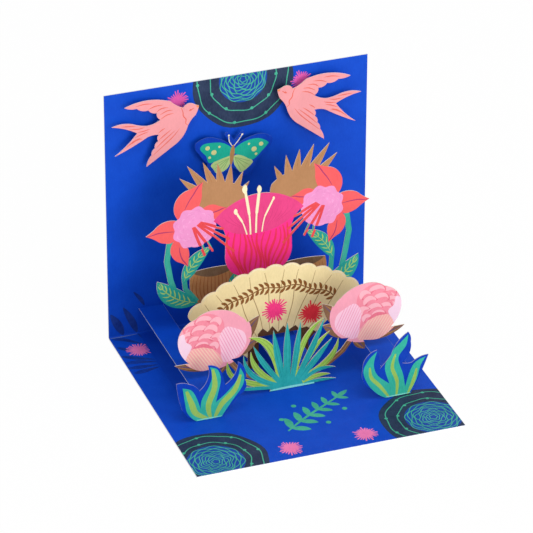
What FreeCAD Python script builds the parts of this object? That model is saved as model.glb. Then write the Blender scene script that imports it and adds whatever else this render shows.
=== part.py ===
import FreeCAD, Part
import math
import os

import Sketcher

# A pop-up card, standing open at a right angle on its base panel, in millimetres.
# X runs along the main fold, +Y towards the back panel, +Z up. The origin is the middle of the
# footprint. Heights are measured from the inside of the base, reaches from the inside of the
# back panel, and places across the card from its middle.
SIZES = {
    # The two folded sheets: the outer cover and the liner glued into it
    "cardWidth": 133.0,
    "panelReach": 133.0,
    "coverStock": 0.45,
    "linerStock": 0.3,
    "foldRadius": 0.6,
    # The three box strips, which are slit and folded out of the liner
    "slit": 0.3,
    "stripRise": 13.9,
    "centreStripWidth": 18.6,
    "centreStripPlace": 3.0,
    "centreStripReach": 72.8,
    "sideStripWidth": 12.5,
    "leftStripPlace": -44.7,
    "leftStripReach": 86.7,
    "rightStripPlace": 46.5,
    "rightStripReach": 97.0,
    # The die-cut sheets that stand on the base, and how they are held
    "artStock": 0.4,
    "artAxis": 0.8,
    "flowerReach": 28.0,
    "fanReach": 50.0,
    "legWidth": 5.5,
    "legGap": 0.7,
    "footLength": 6.0,
    "footStep": 0.8,
    "crotchGap": 3.1,
    "trunkTop": 39.5,
    "strutWidth": 13.0,
    "strutPlace": 3.5,
    "tabLength": 6.5,
    "flowerStrutHeight": 57.0,
    "fanStrutHeight": 30.0,
    # The bell flower in the middle of the flower sheet
    "bellWidth": 45.8,
    "bellHeight": 44.1,
    "bellFoot": 38.5,
    "stalkWidth": 5.0,
    "stamenWidth": 1.2,
    "antherWidth": 2.3,
    # The two hanging flowers, their stems and leaves
    "bloomPlace": 32.2,
    "bloomHeight": 69.8,
    "bloomRadius": 10.2,
    "petalLength": 25.0,
    "petalWidth": 12.4,
    "filamentWidth": 1.1,
    "stemWidth": 2.9,
    "leafLength": 24.5,
    "leafWidth": 9.6,
    # The palm fronds and the bowls behind the bell
    "frondPlace": 16.9,
    "frondHeight": 75.5,
    "frondLength": 33.7,
    "frondBladeWidth": 6.0,
    "frondHeart": 15.4,
    "bowlPlace": 22.2,
    "bowlRim": 45.6,
    "bowlWidth": 24.0,
    "bowlDepth": 22.0,
    "rightBowlDrop": 3.6,
    # The scalloped fan
    "fanRadius": 62.1,
    "fanCentre": -6.6,
    "fanHalfSpan": 46.0,
    "fanLobes": 11,
    "lobeRise": 1.7,
    "fanCorner": 6.0,
    # The pair of buds on one spray, and the blade clump in front of its foot
    "budPlace": 38.6,
    "budHeight": 34.6,
    "budWidth": 35.2,
    "budDepth": 30.8,
    "sepalLength": 21.0,
    "sepalWidth": 5.6,
    "budStemWidth": 2.6,
    "sprayFootWidth": 15.0,
    "sprayFootHeight": 11.0,
    "agavePlace": 1.6,
    "agaveCrease": 22.8,
    "agaveHeight": 36.8,
    "agaveHalfWidth": 24.0,
    "agaveBladeWidth": 5.0,
    # The flame-shaped tufts on the side strips
    "tuftHeight": 29.6,
    "tuftWidth": 35.5,
    "rightTuftHeight": 34.2,
    "rightTuftWidth": 34.0,
    # The birds and the butterfly, which stand off the back panel on foam pads
    "birdLength": 43.5,
    "leftBirdPlace": -38.0,
    "rightBirdPlace": 35.6,
    "birdDrop": 21.2,
    "rightBirdTilt": -5.0,
    "butterflyWidth": 39.0,
    "butterflyPlace": -3.6,
    "butterflyDrop": 41.4,
    "butterflyTilt": -5.0,
    "padStock": 3.5,
    "birdPadLength": 12.0,
    "birdPadWidth": 6.0,
    "birdPadShift": 4.0,
    "butterflyPadWidth": 7.5,
}

doc = FreeCAD.newDocument("PopUpCard")
sheet = doc.addObject("Spreadsheet::Sheet", "Sizes")
for row, (alias, millimetres) in enumerate(SIZES.items(), start=1):
    sheet.set(f"A{row}", alias)
    sheet.set(f"B{row}", str(millimetres))
    sheet.setAlias(f"B{row}", alias)
doc.recompute()


def size(alias):
    return float(sheet.get(alias))


# Expressions that several placements share: the inside faces of the base and the back panel.
FLOOR = "(Sizes.coverStock + Sizes.linerStock)"
BACK = f"(Sizes.panelReach / 2 - {FLOOR})"
floor_z = size("coverStock") + size("linerStock")
back_y = size("panelReach") / 2 - floor_z
NEAR = 1e-6
FLATTEST_ARC = 0.005
STRIPS = {"left": "sideStripWidth", "centre": "centreStripWidth", "right": "sideStripWidth"}


# Outlines. An outline is a closed list of (u, v, bulge), anticlockwise. The bulge is the height of
# the arc to the next point as a share of its chord: positive outwards, 0 for a straight line.


def outline_edges(points):
    edges = []
    for (u, v, bulge), (next_u, next_v, _) in zip(points, points[1:] + points[:1]):
        start = FreeCAD.Vector(u, v, 0)
        end = FreeCAD.Vector(next_u, next_v, 0)
        if abs(bulge) < FLATTEST_ARC:
            edges.append(Part.LineSegment(start, end))
        else:
            run = end - start
            middle = (start + end) / 2 + FreeCAD.Vector(run.y, -run.x, 0) * bulge
            edges.append(Part.Arc(start, middle, end))
    return edges


def place(points, u=0.0, v=0.0, scale=1.0, turn=0.0, stretch=1.0):
    """The outline scaled, stretched in height, turned in degrees, then moved to (u, v)."""
    cosine, sine = math.cos(math.radians(turn)), math.sin(math.radians(turn))
    moved = []
    for x, y, bulge in points:
        x, y = x * scale, y * scale * stretch
        moved.append((u + x * cosine - y * sine, v + x * sine + y * cosine, bulge))
    return moved


def mirror(points):
    """The outline mirrored left to right, still anticlockwise."""
    flipped = [(-x, y) for x, y, _ in reversed(points)]
    bulges = [bulge for _, _, bulge in reversed(points)]
    return [(x, y, bulge) for (x, y), bulge in zip(flipped, bulges[1:] + bulges[:1])]


def rectangle(left, low, right, high):
    return [(left, low, 0), (right, low, 0), (right, high, 0), (left, high, 0)]


def leaf(root, tip, width, bow=0.0):
    """A pointed leaf from root to tip. bow bends it to the right of its own direction."""
    length = math.dist(root, tip)
    half = width / 2 / length
    return [(*root, half + bow), (*tip, half - bow)]


def blade(root, tip, width, bow=0.0, swell=0.06):
    """A blade as wide as width at its root, tapering to its tip."""
    length = math.dist(root, tip)
    across_u = (tip[1] - root[1]) / length * width / 2
    across_v = -(tip[0] - root[0]) / length * width / 2
    right = (root[0] + across_u, root[1] + across_v)
    left = (root[0] - across_u, root[1] - across_v)
    return [(*right, swell + bow), (*tip, swell - bow), (*left, 0.2)]


# How wide a sword-shaped blade is along its length, as shares of its full width.
SWORD_WIDTHS = {0: 0.8, 0.25: 0.95, 0.5: 1.0, 0.75: 0.68, 1: 0.0}


def sword(root, belly, tip, width):
    """A blade whose middle line bends through its belly, with two arcs on each side of it."""
    pull = [2 * b - (a + c) / 2 for a, b, c in zip(root, belly, tip)]

    def edge(share, side):
        rest = 1 - share
        u, v = (
            rest * rest * a + 2 * share * rest * b + share * share * c
            for a, b, c in zip(root, pull, tip)
        )
        along_u, along_v = (rest * (b - a) + share * (c - b) for a, b, c in zip(root, pull, tip))
        out = side * width / 2 * SWORD_WIDTHS[share] / math.hypot(along_u, along_v)
        return (u + along_v * out, v - along_u * out)

    outline = []
    for share, ahead, side in ((0, 0.5, 1), (0.5, 1, 1), (1, 0.5, -1), (0.5, 0, -1)):
        start, end = edge(share, side), edge(ahead, side)
        middle = edge((share + ahead) / 2, side)
        run_u, run_v = end[0] - start[0], end[1] - start[1]
        rise = (middle[0] - start[0]) * run_v - (middle[1] - start[1]) * run_u
        outline.append((*start, rise / (run_u**2 + run_v**2)))
    return outline + [(*edge(0, -1), 0)]


def petal(root, tip, width, bow=0.0):
    """A petal from root to tip: full up to its shoulders, then drawn out to a long point."""
    length = math.dist(root, tip)
    along_u, along_v = (tip[0] - root[0]) / length, (tip[1] - root[1]) / length
    sides = []
    for side in (1, -1):
        rise = width / 2 / length + side * bow
        out, run = side * 0.72 * rise * length, 0.7 * length
        shoulder = (root[0] + along_u * run + along_v * out, root[1] + along_v * run - along_u * out)
        sides.append((shoulder, 0.82 * rise))
    (right, right_arc), (left, left_arc) = sides
    return [(*root, right_arc), (*right, -0.04), (*tip, -0.04), (*left, left_arc)]


def ribbon(path, width):
    """Overlapping strips of even width, with round ends, along the points of a path."""
    strips = []
    for start, end in zip(path, path[1:]):
        length = math.dist(start, end)
        across_u = (end[1] - start[1]) / length * width / 2
        across_v = -(end[0] - start[0]) / length * width / 2
        strips.append(
            [
                (start[0] + across_u, start[1] + across_v, 0),
                (end[0] + across_u, end[1] + across_v, 0.5),
                (end[0] - across_u, end[1] - across_v, 0),
                (start[0] - across_u, start[1] - across_v, 0.5),
            ]
        )
    return strips


def lobed_disc(u, v, radius, lobes, bulge):
    turns = [2 * math.pi * i / lobes for i in range(lobes)]
    return [(u + radius * math.cos(a), v + radius * math.sin(a), bulge) for a in turns]


def both_halves(half):
    """The whole outline of a shape from its right half, from the lowest to the highest point."""
    bulges = [bulge for _, _, bulge in half]
    top = (half[-1][0], half[-1][1], bulges[-2])
    left = [(-half[k][0], half[k][1], bulges[k - 1]) for k in range(len(half) - 2, 0, -1)]
    return half[:-1] + [top] + left


# Document objects


def add_outline(sketch, points):
    """Adds the outline to a sketch, with each corner joined by a constraint."""
    sketch.addGeometry(outline_edges(points), False)
    count = len(points)
    joints = []
    for index in range(count):
        following = (index + 1) % count
        corner = FreeCAD.Vector(*points[following][:2], 0)
        ends = []
        for edge in (index, following):
            starts_here = sketch.getPoint(edge, 1).distanceToPoint(corner) < NEAR
            ends += [edge, 1 if starts_here else 2]
        joints.append(Sketcher.Constraint("Coincident", *ends))
    sketch.addConstraint(joints)


def origin_plane(body, role):
    return next(f for f in body.Origin.OriginFeatures if f.Role == role)


def body_sketch(body, name, role, points, offset=None):
    """A sketch on one of the body's own planes. offset is an expression along its normal."""
    sketch = body.newObject("Sketcher::SketchObject", name)
    sketch.AttachmentSupport = [(origin_plane(body, role), "")]
    sketch.MapMode = "FlatFace"
    if offset:
        sketch.setExpression("AttachmentOffset.Base.z", offset)
    add_outline(sketch, points)
    return sketch


def pad(body, name, sketch, length, both_ways=False):
    feature = body.newObject("PartDesign::Pad", name)
    feature.Profile = sketch
    feature.setExpression("Length", length)
    feature.Midplane = both_ways
    return feature


def new_body(label, across="0", reach=None, height=None):
    """A body whose own frame sits across the card, at a reach and a height. Bare, it is the card's."""
    body = doc.addObject("PartDesign::Body", label)
    body.Label = label
    body.setExpression("Placement.Base.x", across)
    body.setExpression("Placement.Base.y", f"{BACK} - ({reach})" if reach else "0")
    body.setExpression("Placement.Base.z", f"{FLOOR} + {height}" if height else "0")
    return body


def die_cut(label, outlines, across, reach, height="0", foot=None):
    """One flat sheet cut to the union of its outlines, its back at the given reach. foot is a list
    of outlines on the base for the glue tabs folded back from its legs."""
    slabs = []
    for index, points in enumerate(outlines, start=1):
        sketch = doc.addObject("Sketcher::SketchObject", f"{label}_outline_{index}")
        sketch.Placement.Rotation = FreeCAD.Rotation(FreeCAD.Vector(1, 0, 0), 90)
        add_outline(sketch, points)
        slabs.append(extrusion(f"{label}_slab_{index}", sketch))
    for index, points in enumerate(foot or [], start=1):
        sketch = doc.addObject("Sketcher::SketchObject", f"{label}_foot_{index}")
        add_outline(sketch, points)
        slabs.append(extrusion(f"{label}_tab_{index}", sketch))
    whole = doc.addObject("Part::MultiFuse", label)
    whole.Label = label
    whole.Shapes = slabs
    whole.Refine = True
    whole.setExpression("Placement.Base.x", across)
    whole.setExpression("Placement.Base.y", f"{BACK} - ({reach})")
    whole.setExpression("Placement.Base.z", f"{FLOOR} + {height}")
    return whole


def extrusion(name, sketch):
    slab = doc.addObject("Part::Extrusion", name)
    slab.Base = sketch
    slab.DirMode = "Normal"
    slab.Solid = True
    slab.setExpression("LengthFwd", "Sizes.artStock")
    return slab


# The folded sheets


def folded_profile(outside, stock, inner_radius):
    """An L of one sheet, in the YZ plane. outside is the cover's face to this sheet's outer face."""
    half, reach = size("panelReach") / 2, size("panelReach")
    low, back = outside, half - outside
    corner = (math.sqrt(2) - 1) / 2
    outer_radius = inner_radius + stock
    return [
        (-half, low, 0),
        (back - outer_radius, low, corner),
        (back, low + outer_radius, 0),
        (back, reach, 0),
        (back - stock, reach, 0),
        (back - stock, low + outer_radius, -corner),
        (back - outer_radius, low + stock, 0),
        (-half, low + stock, 0),
    ]


def make_cover():
    body = new_body("cover")
    radius = size("foldRadius") + size("linerStock")
    points = folded_profile(0.0, size("coverStock"), radius)
    sketch = body_sketch(body, "cover_profile", "YZ_Plane", points)
    pad(body, "cover_panels", sketch, "Sizes.cardWidth", both_ways=True)
    return body


def make_liner():
    body = new_body("liner")
    points = folded_profile(size("coverStock"), size("linerStock"), size("foldRadius"))
    sketch = body_sketch(body, "liner_profile", "YZ_Plane", points)
    pad(body, "liner_panels", sketch, "Sizes.cardWidth", both_ways=True)
    stock, top = size("linerStock"), floor_z + size("stripRise")
    below, behind = floor_z - stock, back_y + stock
    for side, width in STRIPS.items():
        front = back_y - size(f"{side}StripReach")
        offset = f"Sizes.{side}StripPlace"
        window = [
            (front, below - stock / 2, 0),
            (behind + stock / 2, below - stock / 2, 0),
            (behind + stock / 2, top, 0),
            (back_y - 2 * size("foldRadius"), top, 0),
            (back_y - 2 * size("foldRadius"), floor_z + stock, 0),
            (front, floor_z + stock, 0),
        ]
        sketch = body_sketch(body, f"{side}_window", "YZ_Plane", window, offset)
        cut = body.newObject("PartDesign::Pocket", f"{side}_window_cut")
        cut.Profile = sketch
        cut.Midplane = True
        cut.setExpression("Length", f"Sizes.{width} + 2 * Sizes.slit")
        strip = [
            (front, below, 0),
            (front + stock, below, 0),
            (front + stock, top - stock, 0),
            (behind, top - stock, 0),
            (behind, top, 0),
            (front, top, 0),
        ]
        sketch = body_sketch(body, f"{side}_strip", "YZ_Plane", strip, offset)
        pad(body, f"{side}_strip_fold", sketch, f"Sizes.{width}", both_ways=True)
    return body


def make_strut(label, rear, front, height):
    """A folded strap that carries a layer: a glue tab up at the rear, a level run, a tab down."""
    body = new_body(label, across="Sizes.artAxis + Sizes.strutPlace")
    stock, tab = size("artStock"), size("tabLength")
    points = [
        (rear, height - stock, 0),
        (rear, height + tab, 0),
        (rear - stock, height + tab, 0),
        (rear - stock, height, 0),
        (front, height, 0),
        (front, height - tab, 0),
        (front + stock, height - tab, 0),
        (front + stock, height - stock, 0),
    ]
    sketch = body_sketch(body, f"{label}_profile", "YZ_Plane", points)
    pad(body, f"{label}_strap", sketch, "Sizes.strutWidth", both_ways=True)
    return body


# The standing sheets. Their outlines are drawn from the art's axis.


def straddling(top):
    """The outline of a sheet on two legs that straddle the centre strip, and of its two glue feet.
    top is the rest of the outline, from the right leg's outer edge round to the left leg's."""
    middle = size("centreStripPlace") - size("artAxis")
    inner = size("centreStripWidth") / 2 + size("legGap")
    outer = inner + size("legWidth")
    crotch = size("stripRise") + size("crotchGap")
    legs = [(-outer, 0), (-inner, 0), (-inner, crotch), (inner, crotch), (inner, 0), (outer, 0)]
    sheet_outline = [(middle + u, v, 0) for u, v in legs] + top(middle - outer, middle + outer)
    foot = rectangle(inner, 0, outer - size("footStep"), size("footLength"))
    return sheet_outline, [place(foot, u=middle), place(mirror(foot), u=middle)]


def bell_outlines():
    width, tall = size("bellWidth"), size("bellHeight")
    half = [
        (0, 0, 0.02),
        (16, 1, 0.1),
        (31, 9, 0.1),
        (37, 32, 0.02),
        (36, 50, -0.12),
        (50, 75, 0.11),
        (0, 100, 0),
    ]
    stalk = size("stalkWidth") / 2
    return [
        place(both_halves(half), v=size("bellFoot"), scale=width / 100, stretch=tall / width),
        rectangle(-stalk, size("bellFoot") - stalk, stalk, size("bellFoot") + stalk),
    ]


def stamen_outlines():
    """The two stamens that stand above the back rim, each with a drop-shaped head."""
    unit = size("bellWidth") / 100
    foot = size("bellFoot")
    shapes = []
    for root, head in (((-9, 60), (-15.1, 103.7)), ((-3, 60), (0.7, 100.9))):
        start = (root[0] * unit, foot + root[1] * unit)
        end = (head[0] * unit, foot + head[1] * unit)
        shapes += ribbon([start, end], size("stamenWidth"))
        rise = 0.95 * size("antherWidth")
        shapes.append(leaf((end[0], end[1] - rise), (end[0], end[1] + rise), size("antherWidth")))
    return shapes


def bloom_outlines(drop):
    """One hanging flower on the right: four petals, a ruffled middle, filaments, stem and leaves.
    drop lowers the foot of the stems and the leaf beside it."""
    middle = (size("bloomPlace"), size("bloomHeight"))
    unit = size("bloomRadius") / 10

    def at(u, v):
        return (middle[0] + u * unit, middle[1] + v * unit)

    length, width = size("petalLength"), size("petalWidth")
    shapes = []
    for root, direction, share, wide, bow in (
        ((5, 3), 114, 0.92, 0.98, 0.13),
        ((-2, 3), 160, 0.6, 0.72, 0.08),
        ((4, 1), -4, 0.82, 0.96, 0.02),
        ((9, -4), -109, 0.7, 0.7, -0.06),
    ):
        start = at(*root)
        run = length * share
        turn = math.radians(direction)
        end = (start[0] + run * math.cos(turn), start[1] + run * math.sin(turn))
        shapes.append(petal(start, end, width * wide, bow))
    shapes.append(lobed_disc(*middle, size("bloomRadius"), 9, 0.16))
    for tip in ((-13.6, -3), (-16.6, -8.8), (-19, -15.8), (-8.6, -13.8), (-4.6, -15.2)):
        shapes += ribbon([at(-2, 1.5), at(*tip)], size("filamentWidth"))
    bowl_side = size("bowlPlace") + size("bowlWidth") * 0.4
    bowl_low = size("bowlRim") - size("bowlDepth") * 0.75 - drop
    foot = (bowl_side, bowl_low)
    bend = (foot[0] + 10.4, foot[1] + 5.8)
    shapes += ribbon([at(12.6, -6.5), at(13.9, -15.5), at(12.2, -26), bend, foot], size("stemWidth"))
    fork = (foot[0] + 5.4, foot[1] + 8.0)
    base = at(5.4, -27.5)
    shapes += ribbon([base, fork, foot], size("stemWidth") * 0.85)
    up = (base[0] - size("leafLength") * 0.55, base[1] + size("leafLength") * 0.66)
    shapes.append(leaf((base[0] + 0.8, base[1] - 2.0), up, size("leafWidth") * 0.76, 0.1))
    side = (foot[0] + size("leafLength") * 0.8, foot[1] + size("leafLength") * 0.6)
    shapes.append(leaf((foot[0] - 1.0, foot[1] - 0.5), side, size("leafWidth"), 0.13))
    return shapes


def frond_outlines(count):
    """One palm frond: its full heart and its first blades, by direction and share of the length."""
    root = (size("frondPlace"), size("frondHeight"))
    spread = ((44, 0.94), (56, 1), (69, 0.91), (82, 0.81), (97, 0.75), (114, 0.66), (130, 0.56))
    rim = ((10, 0.97, 0.1), (57, 1, 0.1), (102, 1, 0.07), (135, 0.96, 0.05), (160, 0.77, 0))
    heart = [(*root, 0)]
    for direction, share, bulge in rim:
        turn, run = math.radians(direction), size("frondHeart") * share
        heart.append((root[0] + run * math.cos(turn), root[1] + run * math.sin(turn), bulge))
    shapes = [heart]
    for direction, share in spread[:count]:
        turn, run = math.radians(direction), size("frondLength") * share
        tip = (root[0] + run * math.cos(turn), root[1] + run * math.sin(turn))
        shapes.append(blade(root, tip, size("frondBladeWidth"), swell=0.035))
    return shapes


def bowl_outlines(drop):
    half, deep = size("bowlWidth") / 2, size("bowlDepth")
    middle, rim = size("bowlPlace"), size("bowlRim") - drop
    return [
        [
            (middle - half * 0.55, rim - deep, 0),
            (middle + half * 0.55, rim - deep, 0.13),
            (middle + half, rim, 0.04),
            (middle - half, rim, 0.13),
        ]
    ]


def sprig_outlines():
    """The short leaf that fills the corner between a bowl and the bell's foot."""
    side, low = size("bowlPlace") - 0.28 * size("bowlWidth"), size("bellFoot") - 3.0
    return [leaf((side, low), (side - 6.5, low + 7.0), 0.45 * size("leafWidth"), -0.05)]


def make_flower_sheet():
    def trunk_top(left, right):
        return [(right, size("trunkTop"), 0), (left, size("trunkTop"), 0)]

    trunk, feet = straddling(trunk_top)
    right, left = (
        bloom_outlines(drop) + frond_outlines(blades) + bowl_outlines(drop) + sprig_outlines()
        for drop, blades in ((size("rightBowlDrop"), 6), (0.0, 7))
    )
    outlines = [trunk] + bell_outlines() + stamen_outlines() + right + [mirror(o) for o in left]
    return die_cut("flower_sheet", outlines, "Sizes.artAxis", "Sizes.flowerReach", foot=feet)


def make_fan():
    """A scalloped fan on the two legs. Its straight sides run towards the centre of its rim."""
    centre, rim = size("fanCentre"), size("fanRadius") - size("lobeRise")
    lobes, low = int(size("fanLobes")), 90 - size("fanHalfSpan")
    step = 2 * size("fanHalfSpan") / lobes
    bulge = size("lobeRise") / (2 * rim * math.sin(math.radians(step / 2)))

    def on_spoke(degrees, radius, arc):
        turn = math.radians(degrees)
        return (radius * math.cos(turn), centre + radius * math.sin(turn), arc)

    def scallops(left, right):
        slope, corner = math.tan(math.radians(low)), rim - size("fanCorner")
        points = [(right, centre + right * slope, 0), on_spoke(low, corner, bulge)]
        points += [on_spoke(low + step * index, rim, bulge) for index in range(lobes + 1)]
        return points + [on_spoke(180 - low, corner, 0), (left, centre - left * slope, 0)]

    fan, feet = straddling(scallops)
    return die_cut("fan", [fan], "Sizes.artAxis", "Sizes.fanReach", foot=feet)


def bud_outlines():
    """One bud on the right, its sepals and the stem down to the spray's foot."""
    middle = (size("budPlace"), size("budHeight"))
    half_w, half_h = size("budWidth") / 2, size("budDepth") / 2
    bud = [
        (1.0, 0.02, 0.18),
        (0.5, 0.8, 0.12),
        (-0.08, 1.0, 0.1),
        (-0.76, 0.64, 0.14),
        (-1.0, 0.04, 0.1),
        (-0.5, -0.72, 0.08),
        (-0.08, -1.0, 0.12),
        (0.56, -0.82, 0.12),
    ]
    shapes = [[(middle[0] + x * half_w, middle[1] + y * half_h, b) for x, y, b in bud]]
    base = (middle[0] - 0.4 * half_w, middle[1] - 0.8 * half_h)
    for direction, share, wide, bow in (
        (127, 1.24, 1.4, 0.01),
        (150, 0.84, 1.2, 0.0),
        (-52, 0.48, 0.85, 0.0),
        (3, 1.26, 0.9, 0.08),
    ):
        turn, run = math.radians(direction), size("sepalLength") * share
        tip = (base[0] + run * math.cos(turn), base[1] + run * math.sin(turn))
        shapes.append(leaf(base, tip, size("sepalWidth") * wide, bow))
    foot = (0.4 * size("sprayFootWidth"), 0.3 * size("sprayFootHeight"))
    path = []
    for share_u, share_v in ((1, 1), (0.8, 0.63), (0.57, 0.4), (0.3, 0.2), (0, 0)):
        along, up = share_u * (base[0] - foot[0]), share_v * (base[1] - foot[1])
        path.append((foot[0] + along, foot[1] + up))
    shapes += ribbon(path, size("budStemWidth"))
    return shapes


def make_bud_spray():
    """Both buds on one sheet, whose foot is glued to the front of the centre strip."""
    middle = size("centreStripPlace") - size("artAxis")
    half = size("sprayFootWidth") / 2
    foot = rectangle(middle - half, size("slit"), middle + half, size("sprayFootHeight"))
    right = bud_outlines()
    left = [mirror(outline) for outline in right]
    return die_cut("bud_spray", [foot] + right + left, "Sizes.artAxis", "Sizes.centreStripReach")


# Each blade of the clump: its root, belly and tip as shares of the clump's half width and height,
# and its width as a share of the full blade's.
AGAVE_BLADES = (
    ((-0.11, 0.07), (-0.11, 0.55), (-0.11, 0.99), 0.74),
    ((-0.17, 0.08), (-0.31, 0.52), (-0.4, 0.91), 0.64),
    ((-0.02, 0.06), (0.09, 0.56), (0.17, 0.97), 0.58),
    ((0.04, 0.1), (0.24, 0.65), (0.65, 0.96), 0.55),
    ((0.07, 0.09), (0.41, 0.54), (0.67, 0.96), 0.59),
    ((0.11, 0.13), (0.48, 0.54), (0.79, 0.75), 0.42),
    ((0.1, 0.06), (0.47, 0.35), (0.84, 0.64), 0.67),
    ((0.25, 0.13), (0.77, 0.33), (0.97, 0.62), 0.61),
    ((0.22, 0.08), (0.56, 0.2), (0.92, 0.19), 0.4),
    ((0.22, 0.05), (0.52, 0.11), (0.81, 0.1), 0.44),
    ((0.25, 0.02), (0.56, 0.04), (0.93, 0.02), 0.36),
    ((-0.26, 0.14), (-0.47, 0.65), (-0.92, 0.86), 0.77),
    ((-0.23, 0.09), (-0.6, 0.44), (-0.82, 0.73), 0.55),
    ((-0.29, 0.09), (-0.73, 0.36), (-0.87, 0.65), 0.59),
    ((-0.29, 0.07), (-0.83, 0.29), (-1.02, 0.61), 0.55),
    ((-0.43, 0.07), (-0.91, 0.19), (-1.29, 0.32), 0.59),
    ((-1.13, 0.26), (-1.31, 0.38), (-1.36, 0.56), 0.49),
    ((-0.4, 0.05), (-0.92, 0.1), (-1.29, 0.14), 0.39),
)


def make_agave():
    half, tall, base = size("agaveHalfWidth"), size("agaveHeight"), size("slit")
    crease, heart_u, heart_v = size("agaveCrease") / 2, 0.3 * half, 0.2 * tall
    outlines = [[(-crease, base, 0), (crease, base, 0), (heart_u, heart_v, 0), (-heart_u, heart_v, 0)]]
    for *spine, wide in AGAVE_BLADES:
        spine = [(u * half, base + v * tall) for u, v in spine]
        outlines.append(sword(*spine, size("agaveBladeWidth") * wide))
    reach = "Sizes.centreStripReach + Sizes.artStock"
    return die_cut("agave", outlines, "Sizes.agavePlace", reach)


def single_sheet(label, points, across, reach, height):
    """A sheet with one closed outline, cut from the art stock."""
    body = new_body(label, across, reach, height)
    sketch = body_sketch(body, f"{label}_outline", "XZ_Plane", points)
    pad(body, f"{label}_stock", sketch, "Sizes.artStock")
    return body


def make_tufts():
    crease = 50 * size("sideStripWidth") / size("tuftWidth")
    left = [
        (-crease, 0, 0),
        (crease, 0, -0.06),
        (47, 38, 0.16),
        (50, 60, 0.16),
        (40, 96, -0.14),
        (22, 58, 0.02),
        (18, 76, 0.2),
        (-2, 99, -0.16),
        (-14, 55, 0.1),
        (-29, 71, 0.1),
        (-46, 75, 0.03),
        (-38, 24, 0.08),
    ]
    crease = 50 * size("sideStripWidth") / size("rightTuftWidth")
    right = [
        (-crease, 0, 0),
        (crease, 0, 0.02),
        (44, 58, 0.1),
        (20, 50, -0.1),
        (5, 52, 0.14),
        (17, 84, 0.1),
        (13, 100, 0.1),
        (-12, 68, -0.02),
        (-28, 49, 0.06),
        (-33, 80, 0.2),
        (-54, 52, 0.16),
        (-42, 20, 0.06),
    ]
    width, tall = size("tuftWidth"), size("tuftHeight")
    left = place(left, scale=width / 100, stretch=tall / width)
    single_sheet("tuft_left", left, "Sizes.leftStripPlace", "Sizes.leftStripReach", "Sizes.slit")
    width, tall = size("rightTuftWidth"), size("rightTuftHeight")
    right = place(right, scale=width / 100, stretch=tall / width)
    single_sheet("tuft_right", right, "Sizes.rightStripPlace", "Sizes.rightStripReach", "Sizes.slit")


def bird_outline():
    """A flying bird with pointed wings and a forked tail, in hundredths of its length."""
    return [
        (40, 22, -0.05),
        (34, 25, 0.22),
        (22, 22, -0.06),
        (8, 32, 0.1),
        (-45, 33, 0.08),
        (-31, 30, 0.14),
        (-18, 26, 0.16),
        (-8, 21, 0.2),
        (-4, 12, -0.08),
        (-20, 7, -0.04),
        (-34, 11, 0.09),
        (-60, 12, -0.05),
        (-31, 0, -0.04),
        (-57, -24, 0.02),
        (-20, -7, -0.08),
        (-6, -6, 0.2),
        (-7, -14, 0.2),
        (-11, -22, 0.16),
        (-15, -30, 0.08),
        (-21, -43, 0),
        (14, -20, 0.08),
        (27, -1, -0.06),
        (36, 11, 0.05),
    ]


def butterfly_outline():
    """A butterfly with the margin left round its wings, in hundredths of its width."""
    half = [
        (0, -17, -0.1),
        (13, -28, 0.2),
        (29, -21, 0.12),
        (32, -9, 0.04),
        (45, 6, 0.16),
        (50, 20, 0.16),
        (24, 25, 0.06),
        (6, 16, -0.05),
        (13, 29, 0.45),
        (8, 31, 0),
        (0, 21, 0),
    ]
    return both_halves(half)


# The birds and the butterfly keep their distance from the back panel's upper edge.
BIRD_HEIGHT = "Sizes.panelReach - Sizes.birdDrop"
BUTTERFLY_HEIGHT = "Sizes.panelReach - Sizes.butterflyDrop"


def make_fliers():
    reach = "Sizes.padStock"
    bird = place(bird_outline(), scale=size("birdLength") / 100)
    single_sheet("bird_left", bird, "Sizes.leftBirdPlace", reach, BIRD_HEIGHT)
    bird = place(mirror(bird), turn=size("rightBirdTilt"))
    single_sheet("bird_right", bird, "Sizes.rightBirdPlace", reach, BIRD_HEIGHT)
    scale, tilt = size("butterflyWidth") / 100, size("butterflyTilt")
    wings = place(butterfly_outline(), scale=scale, turn=tilt)
    single_sheet("butterfly", wings, "Sizes.butterflyPlace", reach, BUTTERFLY_HEIGHT)


def make_pad(label, half_length, half_width, across, height):
    """A foam pad between the back panel and the sheet that it carries."""
    body = new_body(label, across, "0", height)
    points = rectangle(-half_length, -half_width, half_length, half_width)
    sketch = body_sketch(body, f"{label}_outline", "XZ_Plane", points)
    pad(body, f"{label}_foam", sketch, "Sizes.padStock")
    return body


def make_pads():
    length, width = size("birdPadLength") / 2, size("birdPadWidth") / 2
    for side, sign in (("left", "+"), ("right", "-")):
        across = f"Sizes.{side}BirdPlace {sign} Sizes.birdPadShift"
        make_pad(f"bird_pad_{side}", length, width, across, BIRD_HEIGHT)
    half = size("butterflyPadWidth") / 2
    make_pad("butterfly_pad", half, half, "Sizes.butterflyPlace", BUTTERFLY_HEIGHT)


make_cover()
make_liner()
make_flower_sheet()
make_fan()
layer = back_y - size("flowerReach")
make_strut("flower_strut", back_y, layer, floor_z + size("flowerStrutHeight"))
make_strut(
    "fan_strut",
    layer - size("artStock"),
    back_y - size("fanReach"),
    floor_z + size("fanStrutHeight"),
)
make_bud_spray()
make_agave()
make_tufts()
make_fliers()
make_pads()
doc.recompute()

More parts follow.
